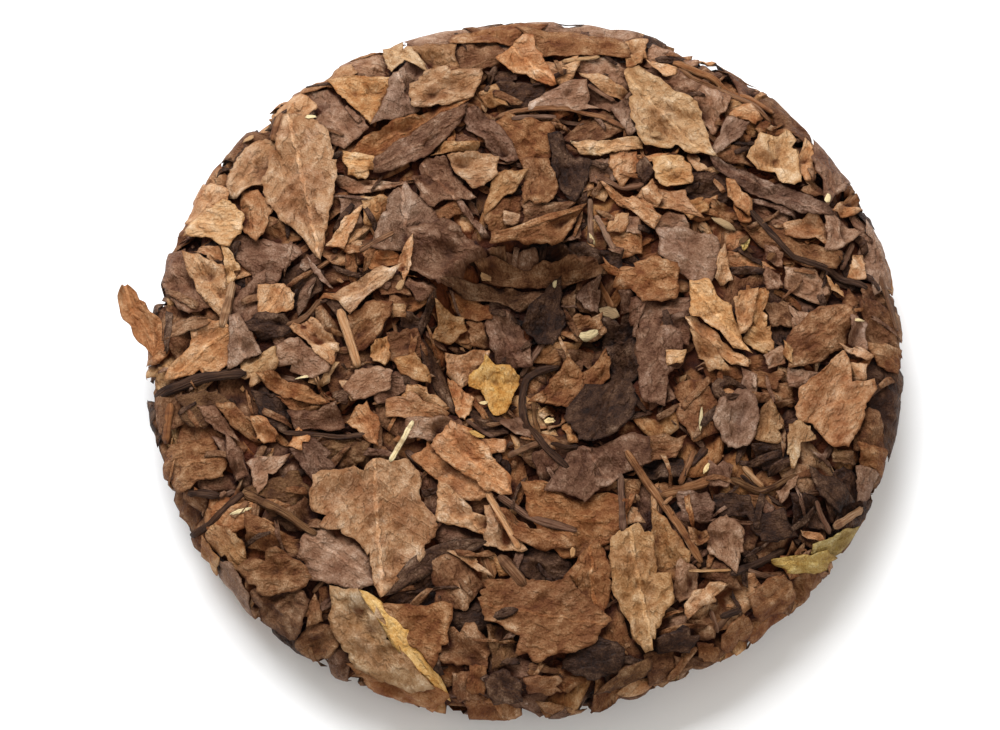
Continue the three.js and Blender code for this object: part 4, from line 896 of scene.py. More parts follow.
def lay_leaf(side, rng, place, heading, outline, rings, bend, stiff, thickness, look, bow=0.0, stand=0.0):
    """Lays one sheet on the pile and adds its height to the map.

    The outline's points are spokes, and rings of corners are shares of the way to them. The height of a
    corner is what lies under it, grown and blurred by the sheet's stiffness, plus its own bend. A bow bends
    the sheet's length into an arc, and its rim stands clear of what is under it. A stiff sheet reaches out
    over the steep wall of the hollow.
    """
    spokes = len(outline)
    c, s = math.cos(heading), math.sin(heading)
    share = np.r_[0, np.repeat(np.arange(1, rings + 1) / rings, spokes)]
    local = share[:, None] * np.vstack([outline[:1], np.tile(outline, (rings, 1))])
    a, b = local.T
    bowed = b + bow * a ** 2
    x, y = place[0] + a * c - bowed * s, place[1] + a * s + bowed * c
    window, gx, gy = side.window(x, y, 2 * stiff * CELL)
    ga = (gx - place[0]) * c + (gy - place[1]) * s
    gb = (gy - place[1]) * c - (gx - place[0]) * s - bow * ga ** 2
    turns = np.arctan2(outline[:, 1], outline[:, 0])
    order = np.argsort(turns)
    rim = np.interp(np.arctan2(gb, ga), turns[order], np.hypot(*outline.T)[order], period=TURN)
    to_rim = np.hypot(ga, gb) / rim
    under = blurred(grown(side.heights[window], stiff), stiff)
    if not side.under and math.hypot(*place) < HOLLOW_NEAR_RIM + WALL_MARGIN:
        wall = -hollow_depth(gx, gy)
        under = under + np.maximum(blurred(wall, stiff + WALL_STIFFNESS) - wall, 0)

    def own(a, b, share):
        return thickness + bend(a, b, share) + stand * share ** 2

    top = under + own(ga, gb, np.minimum(to_rim, 1))
    side.heights[window] = np.where(to_rim <= 1, np.maximum(side.heights[window], top), side.heights[window])
    height = sampled(under, x, y, gx[0, 0], gy[0, 0]) + own(a, b, share)
    seed = rng.uniform(0, 100)
    side.shapes.append({
        "x": np.tile(x, 2), "y": np.tile(y, 2), "height": np.r_[height, height - thickness],
        "leaf": np.tile(np.column_stack([a, b, 0 * a + seed]), (2, 1)), "rim": np.tile(share, 2),
        "faces": sheet_faces(rings, spokes), "place": place, **look,
    })


def stiffness(width):
    """How far a sheet bridges what it lies on, in cells: more where it is wide."""
    return int(np.clip(0.16 * width / CELL, 2, 6))


def formed(form, length, width, rng):
    """The corners of a form at its size, uneven, and on either hand."""
    corners = np.array(FORMS[form]) * (1 + rng.uniform(-0.16, 0.16, (len(FORMS[form]), 1)))
    corners = corners + rng.uniform(-0.08, 0.08, corners.shape)
    corners = corners * (0.5 * length, 0.5 * width)
    return corners if rng.random() < 0.5 else (corners * (1, -1))[::-1]


def longest_way(points):
    """Heading of the line that points spread along most, from their moments."""
    (xx, xy), (_, yy) = np.cov(points.T)
    return 0.5 * math.atan2(2 * xy, xx - yy)


def middle_of(corners):
    """Area and centroid of a polygon."""
    following = np.roll(corners, -1, 0)
    turning = corners[:, 0] * following[:, 1] - following[:, 0] * corners[:, 1]
    return 0.5 * turning.sum(), ((corners + following) * turning[:, None]).sum(0) / (3 * turning.sum())


def lay_named_leaves(side, rng, thickness):
    """The leaves that can be told apart, each with its own outline, lowest first, with slivers between."""
    for growth, layer in zip(LAYER_GROWTH, NAMED_LEAVES):
        if layer is MIDDLE_LEAVES:
            lay_slivers(side, rng, thickness)
        for tone, corners, *midrib in layer:
            corners = np.array(corners, float)
            area, middle = middle_of(corners)
            corners = (corners if area > 0 else corners[::-1]) - middle
            rib, degrees = midrib or (rng.uniform(0, 0.5), None)
            heading = longest_way(corners) if degrees is None else math.radians(degrees)
            c, s = math.cos(heading), math.sin(heading)
            corners = growth * np.column_stack([corners @ (c, s), corners @ (-s, c)])
            width = np.ptp(corners[:, 1])
            tears = int(rng.uniform(0, FEWEST_TEARS + abs(area) / TEAR_AREA))
            outline = outlined(corners, NAMED_STEP, rng, WOBBLE, NAMED_TEETH, tears)
            rings = int(np.clip(round(width / NAMED_RING), 4, 18))
            bend = leaf_bend(rng, width, LEAF_CRUMPLE, rib)
            look = {"tone": tone, "rib": rib, "kind": "leaf"}
            lay_leaf(side, rng, middle, heading, outline, rings, bend, stiffness(width), thickness, look,
                     stand=RIM_STAND)


def scattered(rng, count, reach):
    """Places spread over a disc, by a golden-angle spiral that is then shaken."""
    i = np.arange(count) + 0.5
    way = reach * np.sqrt(i / count)
    angle = i * math.pi * (3 - math.sqrt(5)) + rng.uniform(0, TURN)
    shake = rng.normal(0, 0.45 * reach / math.sqrt(count), (2, count))
    return np.column_stack([way * np.cos(angle) + shake[0], way * np.sin(angle) + shake[1]])


def picked(rng, items):
    """One of some items, each as likely as it is often among them."""
    return items[rng.integers(len(items))]


def drawn_tone(rng):
    """A tone by its share of the leaves."""
    shares = np.array(list(FILL_TONES.values()), float)
    return list(FILL_TONES)[rng.choice(len(shares), p=shares / shares.sum())]


def lay_filling(side, rng, settings):
    """Rounds of smaller leaves by rule: even places, drawn sizes, forms, headings and tones."""
    for plan in FILL_ROUNDS:
        count = int(plan["count"][int(side.under)] * settings.filling)
        places = scattered(rng, count, settings.filling_reach / MM)
        for place in rng.permutation(places):
            length = rng.uniform(*plan["length"])
            width = length * rng.uniform(*plan["aspect"])
            form = picked(rng, FILL_FORMS)
            corners = formed(form, length, width, rng)
            torn = int(length > FILL_TORN_LENGTH)
            outline = outlined(corners, plan["step"], rng, WOBBLE, FILL_TEETH, torn)
            rib = RIBBED[form] * rng.uniform(0, 1)
            bend = leaf_bend(rng, width, plan["crumple"] * rng.uniform(*FILL_CRUMPLE), 0.5 * rib)
            look = {"tone": drawn_tone(rng), "rib": rib, "kind": "leaf"}
            heading = rng.uniform(0, TURN)
            lay_leaf(side, rng, place, heading, outline, plan["rings"], bend, stiffness(width),
                     settings.thickness / MM, look, rng.normal(0, 0.01), RIM_STAND)


# --- Stalks and buds ---

@lru_cache(maxsize=None)
def tube_faces(rows, around):
    """Corner numbers of a closed tube: a fan over each end, the wall's quads, and no creased quads."""
    k = np.arange(around)
    following = (k + 1) % around
    start = around * np.arange(rows - 1)[:, None]
    wall = np.stack([start + k, start + following, start + around + following, start + around + k], -1)
    first, last = rows * around, rows * around + 1
    end = (rows - 1) * around
    near = np.stack([0 * k + first, following, k], 1)
    far = np.stack([0 * k + last, end + k, end + following], 1)
    return np.vstack([near, far]), wall.reshape(-1, 4), NO_QUADS


def smooth_path(points, step):
    """A path through points: straight pieces resampled a step apart, then averaged with their neighbours."""
    points = np.asarray(points, float)
    ways = np.r_[0, np.cumsum(np.linalg.norm(np.diff(points, axis=0), axis=1))]
    count = max(int(ways[-1] / step), 4) + 1
    at = np.linspace(0, ways[-1], count)
    path = np.column_stack([np.interp(at, ways, column) for column in points.T])
    for _ in range(3):
        path[1:-1] = (path[:-2] + 2 * path[1:-1] + path[2:]) / 4
    return path


def lay_stalk(side, rng, points, thick, look, blunt=0.5, around=8, flat=0.65, ribs=0.2, ends=14):
    """Lays one stalk: an uneven ribbed tube along a path, flattened and a little sunk in the pile.

    Its section is a circle of the thickness, times a taper to both ends, times ribs that wind slowly. The
    path wanders a little, and the thickness changes along it. A rolled leaf is a wider, flatter one with
    deeper ribs and long ends.
    """
    path = smooth_path(points, max(0.8, 0.45 * thick))
    count = len(path)
    path = path + np.cumsum(rng.normal(0, 0.035, (count, 2)), 0)
    along = unit(np.gradient(path, axis=0))
    t = np.linspace(0, 1, count)
    taper = blunt + (1 - blunt) * np.sqrt(np.clip(np.minimum(t, 1 - t) * ends, 0, 1))
    radius = 0.5 * thick * taper * (1 + 0.7 * ribs * np.interp(t * 9, np.arange(10), rng.uniform(-1, 1, 10)))
    window, gx, gy = side.window(path[:, 0], path[:, 1], thick + 4 * CELL)
    ground = blurred(grown(side.heights[window], 1), 2)
    under = sampled(ground, path[:, 0], path[:, 1], gx[0, 0], gy[0, 0])
    under = np.convolve(np.pad(under, 3, mode="edge"), np.ones(7) / 7, "valid")
    centre = under + 0.6 * flat * radius
    turn = TURN * np.arange(around) / around
    twist = 2.5 * t[:, None] + rng.uniform(*PHASE)
    ribbed = 1 + ribs * (np.cos(3 * turn + twist) + 0.6 * np.cos(5 * turn - 1.7 * twist))
    across = radius[:, None] * ribbed * np.cos(turn)
    up = flat * radius[:, None] * ribbed * np.sin(turn)
    x = path[:, :1] + along[:, 1:] * across
    y = path[:, 1:] - along[:, :1] * across
    height = centre[:, None] + up
    ends = [0, count - 1]
    x, y = np.r_[x.ravel(), path[ends, 0]], np.r_[y.ravel(), path[ends, 1]]
    height = np.r_[height.ravel(), centre[ends]]
    np.maximum.at(side.heights, (cell_of(y), cell_of(x)), height)
    ways = t * np.linalg.norm(np.diff(path, axis=0), axis=1).sum()
    leaf = np.column_stack([np.r_[np.repeat(ways, around), 0, ways[-1]],
                            np.r_[np.tile(turn, count) * 0.5 * thick, 0, 0], 0 * x + rng.uniform(0, 100)])
    side.shapes.append({"x": x, "y": y, "height": height, "leaf": leaf, "rim": 0 * x,
                        "faces": tube_faces(count, around), "rib": 0.0, "place": path[count // 2], **look})


def lay_filling_stalks(side, rng):
    """Short straight stalks all over, by rule."""
    for place in scattered(rng, FILL_STALKS[int(side.under)], STALK_REACH):
        heading = rng.uniform(0, TURN)
        reach = rng.uniform(*FILL_STALK_HALF) * np.array([math.cos(heading), math.sin(heading)])
        look = {"tone": picked(rng, FILL_STALK_TONES), "kind": "stalk"}
        thick = rng.uniform(*FILL_STALK_THICK)
        lay_stalk(side, rng, (place - reach, place + reach), thick, look, around=7)


ROLLED = {"blunt": 0.05, "around": 11, "flat": 0.5, "ribs": 0.3, "ends": 2.6}
NAMED_ROLLED = {**ROLLED, "around": 16}


def lay_filling_rolls(side, rng):
    """Leaves rolled up lengthwise, bent into arcs, by rule."""
    for place in scattered(rng, FILL_ROLLS[int(side.under)], ROLL_REACH):
        length, bend = rng.uniform(*FILL_ROLL_LENGTH), rng.normal(0, FILL_ROLL_BEND)
        heading = rng.uniform(0, TURN) + bend * np.linspace(-0.5, 0.5, 7) * length
        steps = np.column_stack([np.cos(heading), np.sin(heading)]) * length / 7
        look = {"tone": picked(rng, FILL_ROLL_TONES), "kind": "roll"}
        points = place + np.cumsum(steps, 0) - 3.5 * steps[3]
        lay_stalk(side, rng, points, rng.uniform(*FILL_ROLL_THICK), look, **ROLLED)


def lay_slivers(side, rng, thickness):
    """Thin torn slivers, by rule: narrow sheets folded along their length."""
    for place in scattered(rng, SLIVERS, SLIVER_REACH):
        length, width = rng.uniform(*SLIVER_LENGTH), rng.uniform(*SLIVER_WIDTH)
        outline = outlined(formed("strip", length, width, rng), 1.3, rng, 0.05, 0.2)
        look = {"tone": picked(rng, SLIVER_TONES), "rib": 0.0, "kind": "leaf"}
        heading = rng.uniform(0, TURN)
        bend = leaf_bend(rng, width, SLIVER_CRUMPLE, 0)
        lay_leaf(side, rng, place, heading, outline, 2, bend, 1, thickness, look, rng.normal(0, 0.02), 0.1)


def lay_crumbs(side, rng, thickness):
    """Crumbs in the gaps: sheets a few millimetres across with few sides, where the pile is low."""
    low = blurred(side.heights, 8) - side.heights
    for place in scattered(rng, CRUMBS[int(side.under)], CRUMB_REACH):
        row, column = cell_of(place[::-1])
        if low[row, column] < rng.normal(0.25, 0.15):
            continue
        size = rng.uniform(*CRUMB_SIZE)
        turns = TURN * (np.arange(CRUMB_SIDES) + rng.uniform(-0.4, 0.4, CRUMB_SIDES)) / CRUMB_SIDES
        oval = np.column_stack([np.cos(turns), np.sin(turns) * 0.7])
        outline = 0.5 * size * rng.uniform(0.5, 1.3, (CRUMB_SIDES, 1)) * oval
        bend = leaf_bend(rng, size, 0.3, 0)
        heading = rng.uniform(0, 6.3)
        look = {"tone": picked(rng, CRUMB_TONES), "rib": 0.0, "kind": "crumb"}
        lay_leaf(side, rng, place, heading, outline, 1, bend, 2, CRUMB_THINNESS * thickness, look)


class Pile:
    """The whole cake, laid once: both sides with their shapes and finished maps."""

    def __init__(self, settings):
        rng = np.random.default_rng(settings.seed)
        thickness = settings.thickness / MM
        self.under, self.top = Side(True), Side(False)
        for side in (self.under, self.top):
            if side is self.top:
                across_the_edge(self.top, self.under)
            lay_filling(side, rng, settings)
            lay_filling_rolls(side, rng)
            lay_filling_stalks(side, rng)
            lay_crumbs(side, rng, thickness)
        lay_named_leaves(self.top, rng, thickness)
        for points, thick, tone in ROLLS:
            lay_stalk(self.top, rng, points, thick, {"tone": tone, "kind": "roll"}, **NAMED_ROLLED)
        for points, thick, tone in STALKS:
            lay_stalk(self.top, rng, points, STALK_PRESS * thick, {"tone": tone, "kind": "stalk"})
        for start, end, thick, tone in BUDS:
            lay_stalk(self.top, rng, (start, end), thick, {"tone": tone, "kind": "bud"}, blunt=0.1, ends=2.5)
        for x, y, degrees, length, width, tone in FLAKES:
            outline = outlined(formed("torn", length, width, rng), 1.0, rng, 0.03, 0.1)
            bend = leaf_bend(rng, width, 0.3, 0)
            lay_leaf(self.top, rng, (x, y), math.radians(degrees), outline, 2, bend, 2, thickness,
                     {"tone": tone, "rib": 0.0, "kind": "bud"}, stand=FLAKE_STAND)
        across_the_edge(self.under, self.top)
        for side in (self.under, self.top):
            side.levels, side.close = side.broad(LEVEL_REACH), side.broad(CLOSE_REACH)

    def shapes(self, kind, tones=None):
        """The shapes of a kind that show, with the side that each lies on."""
        for side in (self.under, self.top):
            for shape in side.shapes:
                if shape["kind"] == kind and (tones is None or shape["tone"] in tones) and shows(side, shape):
                    yield side, shape


def shows(side, shape):
    """False for a shape that others cover all over."""
    there = sampled(side.heights, shape["x"], shape["y"])
    return bool((there - shape["height"] < HIDDEN_BELOW).any())


@lru_cache(maxsize=1)
def pressed_pile(*key):
    """The pile for one set of sizes, laid once however many pieces are made from it."""
    return Pile(bpy.context.scene.tea_cake_sizes)


def pile_of(context):
    """The pile for the sizes that are set now."""
    sizes = context.scene.tea_cake_sizes
    return pressed_pile(sizes.seed, sizes.thickness, sizes.filling, sizes.filling_reach)


# --- Meshes ---

def linear(colour):
    """A display colour as the linear one that shaders take."""
    c = np.asarray(colour, float)
    return np.where(c <= 0.04045, c / 12.92, ((c + 0.055) / 1.055) ** 2.4)


def make_mesh(name, points, triangles, quads, material, flat=NO_QUADS):
    """A mesh object from arrays: points in millimetres, and corner numbers of its triangles and quads.

    The flat quads meet the others in a crease.
    """
    smooth = len(triangles) + len(quads)
    quads = np.vstack([quads, flat])
    mesh = bpy.data.meshes.new(name)
    mesh.vertices.add(len(points))
    mesh.vertices.foreach_set("co", (points * MM).astype(np.float32).ravel())
    loops = np.r_[triangles.ravel(), quads.ravel()].astype(np.int32)
    starts = np.r_[3 * np.arange(len(triangles)), 3 * len(triangles) + 4 * np.arange(len(quads))]
    mesh.loops.add(len(loops))
    mesh.loops.foreach_set("vertex_index", loops)
    mesh.polygons.add(len(starts))
    mesh.polygons.foreach_set("loop_start", starts.astype(np.int32))
    mesh.polygons.foreach_set("use_smooth", np.arange(len(starts)) < smooth)
    mesh.update(calc_edges=True)
    mesh.validate()
    mesh.materials.append(material)
    piece = bpy.data.objects.new(name, mesh)
    bpy.context.scene.collection.objects.link(piece)
    return piece


def add_attributes(piece, tones, leaves, traits):
    """Stores the leaf's tone, the place on it with its seed, and its traits for each corner point."""
    for name, kind, field, values in (("tone", "FLOAT_COLOR", "color", tones),
                                      ("leaf", "FLOAT_VECTOR", "vector", leaves),
                                      ("trait", "FLOAT_VECTOR", "vector", traits)):
        attribute = piece.data.attributes.new(name, kind, "POINT")
        attribute.data.foreach_set(field, np.vstack(values).astype(np.float32).ravel())


def settle(piece):
    """Declares a finished piece to the frame."""
    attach(piece, BODY)
    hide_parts(NODE)


def make_shapes(context, name, kind, tones, material):
    """One piece from all shapes of a kind and some tones, levelled and placed on the cake.

    Its attributes are tone, the leaf's colour; leaf, the place along and across it and its seed; and trait,
    how plain its midrib is, the share of the way to its rim, and how deep the place lies in the pile.
    """
    pile = pile_of(context)
    colours = context.scene.tea_cake_colours
    points, tone_values, leaves, traits, triangles, quads, rims = [], [], [], [], [], [], []
    count = 0
    for side, shape in pile.shapes(kind, tones):
        x, y, height = shape["x"], shape["y"], shape["height"]
        level = sampled(side.levels, x, y)
        around = sampled(side.close, x, y)
        points.append(surface(x, y, pressed(height - level + LEVEL_LIFT), side.under))
        seed = shape["leaf"][0, 2]
        base = linear(getattr(colours, shape["tone"]))
        value = 1 + colours.spread * math.sin(seed * 7.1)
        hue = 1 + HUE_SPREAD * math.sin(seed * 3.3) * np.array([0.6, 0, -1])
        if not side.under:
            # Leaves in the dark patches are darkened; in the hollow this is painted shade.
            near = [share * math.exp(-math.dist(shape["place"], (px, py)) ** 2 / reach ** 2)
                    for px, py, reach, share in DARK_AND_SHADE_PATCHES]
            value *= 1 - max(near)
        tone_values.append(np.tile(np.r_[base * value * hue, 1], (len(x), 1)))
        leaves.append(shape["leaf"])
        traits.append(np.column_stack([0 * x + shape["rib"], shape["rim"], around - height]))
        for faces, corners in zip((triangles, quads, rims), shape["faces"]):
            turned = corners[:, ::-1] if side.under else corners
            faces.append(turned + count)
        count += len(x)
    faces = np.vstack(triangles), np.vstack(quads)
    piece = make_mesh(name, np.vstack(points), *faces, material, np.vstack(rims))
    add_attributes(piece, tone_values, leaves, traits)
    settle(piece)
    return piece


def make_core(context, material):
    """The dark crumbled mass under the leaves: the cake's surface at the bottom of the pile. Its dark tone
    also paints the shade in the gaps.

    Rows of way from the middle of the top to the middle of the underside, round at every angle, and a point
    at each end, joined like a tube turned inside out. The grain is two crossing rows of bent waves.
    """
    pile = pile_of(context)
    way = np.linspace(0, WHOLE_WAY, CORE_ROWS + 1)[1:-1][:, None]
    angle = (TURN * np.arange(CORE_AROUND) / CORE_AROUND)[None, :]
    on_top = way < REST_WAY - CORE_TURN_BACK
    parts = []
    for side, chosen in ((pile.top, on_top[:, 0]), (pile.under, ~on_top[:, 0])):
        out = WHOLE_WAY - way[chosen] if side.under else way[chosen]
        x, y = out * np.cos(angle), out * np.sin(angle)
        level = sampled(side.levels, x, y)
        grain = CORE_GRAIN * np.sin(1.9 * x + 2 * np.sin(1.3 * y)) * np.sin(2.1 * y + 2 * np.sin(1.1 * x))
        lift = pressed(LEVEL_LIFT - CORE_DEPTH * level) - CORE_DROP + grain
        parts.append(surface(x, y, lift, side.under))
    grid = np.vstack(parts)
    ends = [surface(np.zeros(1), np.zeros(1), np.array([CORE_POLE_LIFT]), under) for under in (False, True)]
    points = np.vstack([grid.reshape(-1, 3), *ends])
    triangles, quads, _ = tube_faces(len(grid), CORE_AROUND)
    turned = [np.roll(corners[:, ::-1], 1, axis=1) for corners in (triangles, quads)]
    piece = make_mesh("core", points, *turned, material)
    settle(piece)
    return piece


def make_stray_leaf(context, material):
    """The leaf that sticks out: a strip along its line, curled across, over a second darker layer.

    Each layer is a grid of along by across, an outer and an inner face joined round the edge.
    """
    rng = np.random.default_rng(context.scene.tea_cake_sizes.seed + 5)
    line = smooth_path(STRAY_LINE, STRAY_STEP)
    count, wide = len(line), STRAY_ACROSS
    colours = context.scene.tea_cake_colours
    points, tones, leaves, quads = [], [], [], []
    t = np.linspace(0, 1, count)[:, None]
    v = np.linspace(-1, 1, wide)[None, :]
    along = unit(np.gradient(line, axis=0))
    across = unit(np.cross(along, (0, 0, 1.0)))
    up = np.cross(across, along)
    for layer, (tone, drop, scale) in enumerate(STRAY_LAYERS):
        ragged = 1 + 0.16 * np.interp(t * 12, np.arange(13), rng.uniform(-1, 1, 13))
        half = 0.5 * STRAY_WIDTH * scale * ragged * np.sqrt(np.clip(1.02 - t ** 6, 0.05, 1))
        rise = drop + 1.5 * v ** 2 + 0.5 * np.sin(9 * t + 2 * v) + 0.3 * np.sin(23 * t - 4 * v)
        aside = across[:, None, :] * (half * v)[..., None]
        outer = line[:, None, :] + aside + up[:, None, :] * rise[..., None]
        inner = outer - up[:, None, :] * STRAY_THICKNESS
        start = 2 * layer * count * wide
        points += [outer.reshape(-1, 3), inner.reshape(-1, 3)]
        i = np.arange(count - 1)[:, None] * wide + np.arange(wide - 1)[None, :]
        face = np.stack([i, i + 1, i + wide + 1, i + wide], -1).reshape(-1, 4)
        edge = np.r_[np.arange(wide), wide * np.arange(1, count) + wide - 1,
                     (count - 1) * wide + np.arange(wide - 2, -1, -1), wide * np.arange(count - 2, 0, -1)]
        after = np.roll(edge, -1)
        rim = np.stack([edge, edge + count * wide, after + count * wide, after], -1)
        quads += [start + face, start + count * wide + face[:, ::-1], start + rim]
        base = np.r_[linear(getattr(colours, tone)), 1]
        tones.append(np.tile(base, (2 * count * wide, 1)))
        flat = np.stack([20 * t + 0 * v, half * v, 0 * (t + v) + 31.0 + layer], -1).reshape(-1, 3)
        leaves.append(np.tile(flat, (2, 1)))
    quads = np.vstack(quads)
    piece = make_mesh("stray_leaf", np.vstack(points), NO_TRIANGLES, quads, material)
    add_attributes(piece, tones, leaves, [np.tile([0.6, 0.5, 0.0], (len(piece.data.vertices), 1))])
    settle(piece)
    return piece


# --- Materials ---

class Value:
    """A shader socket that takes part in Python arithmetic; each operation adds a Math node."""

    def __init__(self, tree, socket):
        self.tree = tree
        self.socket = socket

    def math(self, operation, *others):
        """Any operation of a Math node on this value and others."""
        node = self.tree.nodes.new("ShaderNodeMath")
        node.operation = operation
        for number, item in enumerate((self, *others)):
            feed(self.tree, node.inputs[number], item)
        return Value(self.tree, node.outputs[0])

    def __add__(self, other):
        return self.math("ADD", other)

    def __sub__(self, other):
        return self.math("SUBTRACT", other)

    def __rsub__(self, other):
        return self.math("MULTIPLY", -1.0).math("ADD", other)

    def __mul__(self, other):
        return self.math("MULTIPLY", other)

    def __abs__(self):
        return self.math("ABSOLUTE")

    __radd__ = __add__
    __rmul__ = __mul__

    def step(self, low, high):
        """Eases from 0 at low to 1 at high, and from 1 to 0 where low is the greater."""
        node = self.tree.nodes.new("ShaderNodeMapRange")
        node.interpolation_type = "SMOOTHSTEP"
        ends = (low, high, 0.0, 1.0) if low < high else (high, low, 1.0, 0.0)
        for number, item in enumerate((self, *ends)):
            feed(self.tree, node.inputs[number], item)
        return Value(self.tree, node.outputs[0])


def feed(tree, socket, item):
    """Links a value to a socket, or sets the socket to a number."""
    if isinstance(item, Value):
        tree.links.new(item.socket, socket)
    else:
        socket.default_value = item


class Finish:
    """One material and the nodes that are added to it."""

    def __init__(self, name):
        self.material = bpy.data.materials.new(name)
        self.material.use_nodes = True
        self.tree = self.material.node_tree
        self.shader = self.tree.nodes["Principled BSDF"]

    def node(self, kind, settings=None, output=0, **inputs):
        """Adds any node: its settings first, then values or links of its sockets by name."""
        node = self.tree.nodes.new(kind)
        for key, value in (settings or {}).items():
            setattr(node, key, value)
        for key, item in inputs.items():
            feed(self.tree, node.inputs[key], item)
        return Value(self.tree, node.outputs[output])

    def attribute(self, name, output="Vector"):
        """One of the piece's own attributes."""
        return self.node("ShaderNodeAttribute", {"attribute_name": name}, output)

    def split(self, vector):
        """The three parts of a vector."""
        node = self.tree.nodes.new("ShaderNodeSeparateXYZ")
        feed(self.tree, node.inputs[0], vector)
        return [Value(self.tree, out) for out in node.outputs]

    def joined(self, x, y, z):
        """A vector from three parts."""
        return self.node("ShaderNodeCombineXYZ", X=x, Y=y, Z=z)

    def noise(self, vector, scale, detail=3.0, roughness=0.55):
        """Noise from 0 to 1 at a place, with so many waves for each millimetre or metre of it."""
        return self.node("ShaderNodeTexNoise", None, "Fac", Vector=vector, Scale=scale, Detail=detail,
                         Roughness=roughness)

    def tinted(self, colour, tint, share):
        """A colour multiplied by a tint, as far as share says."""
        node = self.tree.nodes.new("ShaderNodeMix")
        node.data_type = "RGBA"
        node.blend_type = "MULTIPLY"
        feed(self.tree, node.inputs["Factor"], share)
        feed(self.tree, node.inputs[MIX_A], colour)
        feed(self.tree, node.inputs[MIX_B], tint)
        return Value(self.tree, node.outputs[MIX_RESULT])

    def deepened(self, colour, depth):
        """A colour made darker and fuller by a positive depth, paler and greyer by a negative one."""
        return self.node("ShaderNodeGamma", None, "Color", Color=colour, Gamma=depth + 1.0)

    def scaled(self, colour, factor):
        """A colour times a number."""
        return self.node("ShaderNodeVectorMath", {"operation": "SCALE"}, Vector=colour, Scale=factor)

    def finish(self, colour, roughness, height, depth):
        """Feeds the shader: colour, roughness and a bump of a height field, depth in millimetres."""
        feed(self.tree, self.shader.inputs["Base Color"], colour)
        feed(self.tree, self.shader.inputs["Roughness"], roughness)
        normal = self.node("ShaderNodeBump", Height=height, Distance=depth * MM, Strength=1.0)
        feed(self.tree, self.shader.inputs["Normal"], normal)
        self.shader.inputs["Specular IOR Level"].default_value = SPECULAR
        return self.material


def leaf_finish(name, mottling, wrinkle, gloss):
    """Dried leaf: the leaf's own tone, mottled, with a midrib, side veins, wrinkles and painted shade in
    hollows.

    Every noise is read at the place along and across the leaf, and from another layer for each leaf. The
    midrib wanders about the middle line, side veins slant away from it, and creases and folds run where a
    noise crosses its middle value. Patches, blotches, grain, creases, folds, crests and the rim add up to one
    depth, which darkens or pales the tone: creases and fold lines get painted shade, crests that stand above
    their neighbours a painted highlight, and the rim a darker torn edge that is partly painted shadow under
    it.
    Then half of the leaf takes a bloom, the veins get paler and sunk places get painted shade.
    """
    make = Finish(name)
    along, across, seed = make.split(make.attribute("leaf"))
    rib, rim, sunk = make.split(make.attribute("trait"))
    place = make.joined(along, across, seed * 7.0)
    patches = make.noise(place, 0.17, 2.0)
    blotches = make.noise(make.joined(along, across, seed * 5.0 + 40.0), 0.42, 5.0, 0.62)
    grain = make.noise(place, 2.2, 3.0, 0.65)
    wander = (make.noise(place, 0.3, 1.0) - 0.5) * 2.2
    off = abs(across + wander)
    midrib = off.step(0.75, 0.2) * rib
    slant = (along - off * VEIN_SLANT + wander) * VEINS
    fraction = slant.math("FRACT")
    veins = abs(fraction - 0.5).step(0.09, 0.0) * rib * off.step(0.2, 1.2)
    lined = abs(make.noise(make.joined(along * 0.7, across, seed * 2.0), 0.13, 2.5, 0.6) - 0.5)
    creases = lined.step(0.01, 0.0) * grain.step(0.4, 0.55) * patches.step(0.45, 0.6)
    halves = make.noise(make.joined(along, across, seed * 9.0), 0.1, 2.0)
    folds = abs(make.noise(make.joined(along * 0.7, across, seed * 4.0), 0.2, 3.0, 0.6) - 0.5).step(0.0, 0.12)
    # The fold term paints shade along the fold lines, where the bump is low, and pales the tone away from
    # them.
    depth = (0.5 - patches) * 1.05 + (0.5 - grain) * 1.0 + (0.6 - folds) * 0.14
    depth = depth + (halves.step(0.47, 0.62) * 0.12 + blotches.step(0.48, 0.68) * 0.38) * mottling
    # Places that stand above their neighbours are paled: a painted highlight on the crests.
    depth = depth - blotches.step(0.47, 0.3) * 0.2 * mottling - sunk.step(-0.15, -1.0) * 0.16
    # Creases get painted shade along their lines; the darker rim is partly a torn edge and partly painted
    # shadow under it.
    depth = depth + creases * 0.22 + rim.step(0.88, 1.0) * grain.step(0.35, 0.6) * 0.35
    colour = make.deepened(make.attribute("tone", "Color"), depth)
    colour = make.tinted(colour, BLOOM_TINT, halves.step(0.47, 0.62) * mottling)
    colour = make.tinted(colour, MIDRIB_TINT, midrib * 0.9 + veins * 0.12)
    # Painted shade: places that lie deep in the pile are darkened.
    colour = make.tinted(colour, LEAF_SHADE_TINT, sunk.step(0.4, 2.2))
    crinkle = make.noise(make.joined(along * 0.35, across, seed * 3.0), 0.5, 5.0, 0.6)
    height = crinkle * wrinkle + folds * 0.4 + grain * 0.36 + midrib * 0.3 + veins * 0.1 - creases * 0.15
    roughness = gloss + grain * 0.2
    return make.finish(colour, roughness, height, 1.5)


def stalk_finish(name):
    """Stalk: the tone with fine ridges along it and darker joints, and painted shade where it lies deep."""
    make = Finish(name)
    along, around, seed = make.split(make.attribute("leaf"))
    sunk = make.split(make.attribute("trait"))[2]
    fibre = make.noise(make.joined(along * 0.12, around * 1.6, seed * 3.0), 1.4, 3.0)
    joints = make.noise(make.joined(along, 0.0, seed), 0.3, 2.0)
    colour = make.deepened(make.attribute("tone", "Color"), (0.5 - fibre) * 1.3)
    colour = make.tinted(colour, JOINT_TINT, joints.step(0.5, 0.65) * 0.8)
    # Painted shade where the stalk lies deep in the pile.
    colour = make.tinted(colour, STALK_SHADE_TINT, sunk.step(0.3, 2.1))
    return make.finish(colour, 0.5 + fibre * 0.25, fibre, 1.1)


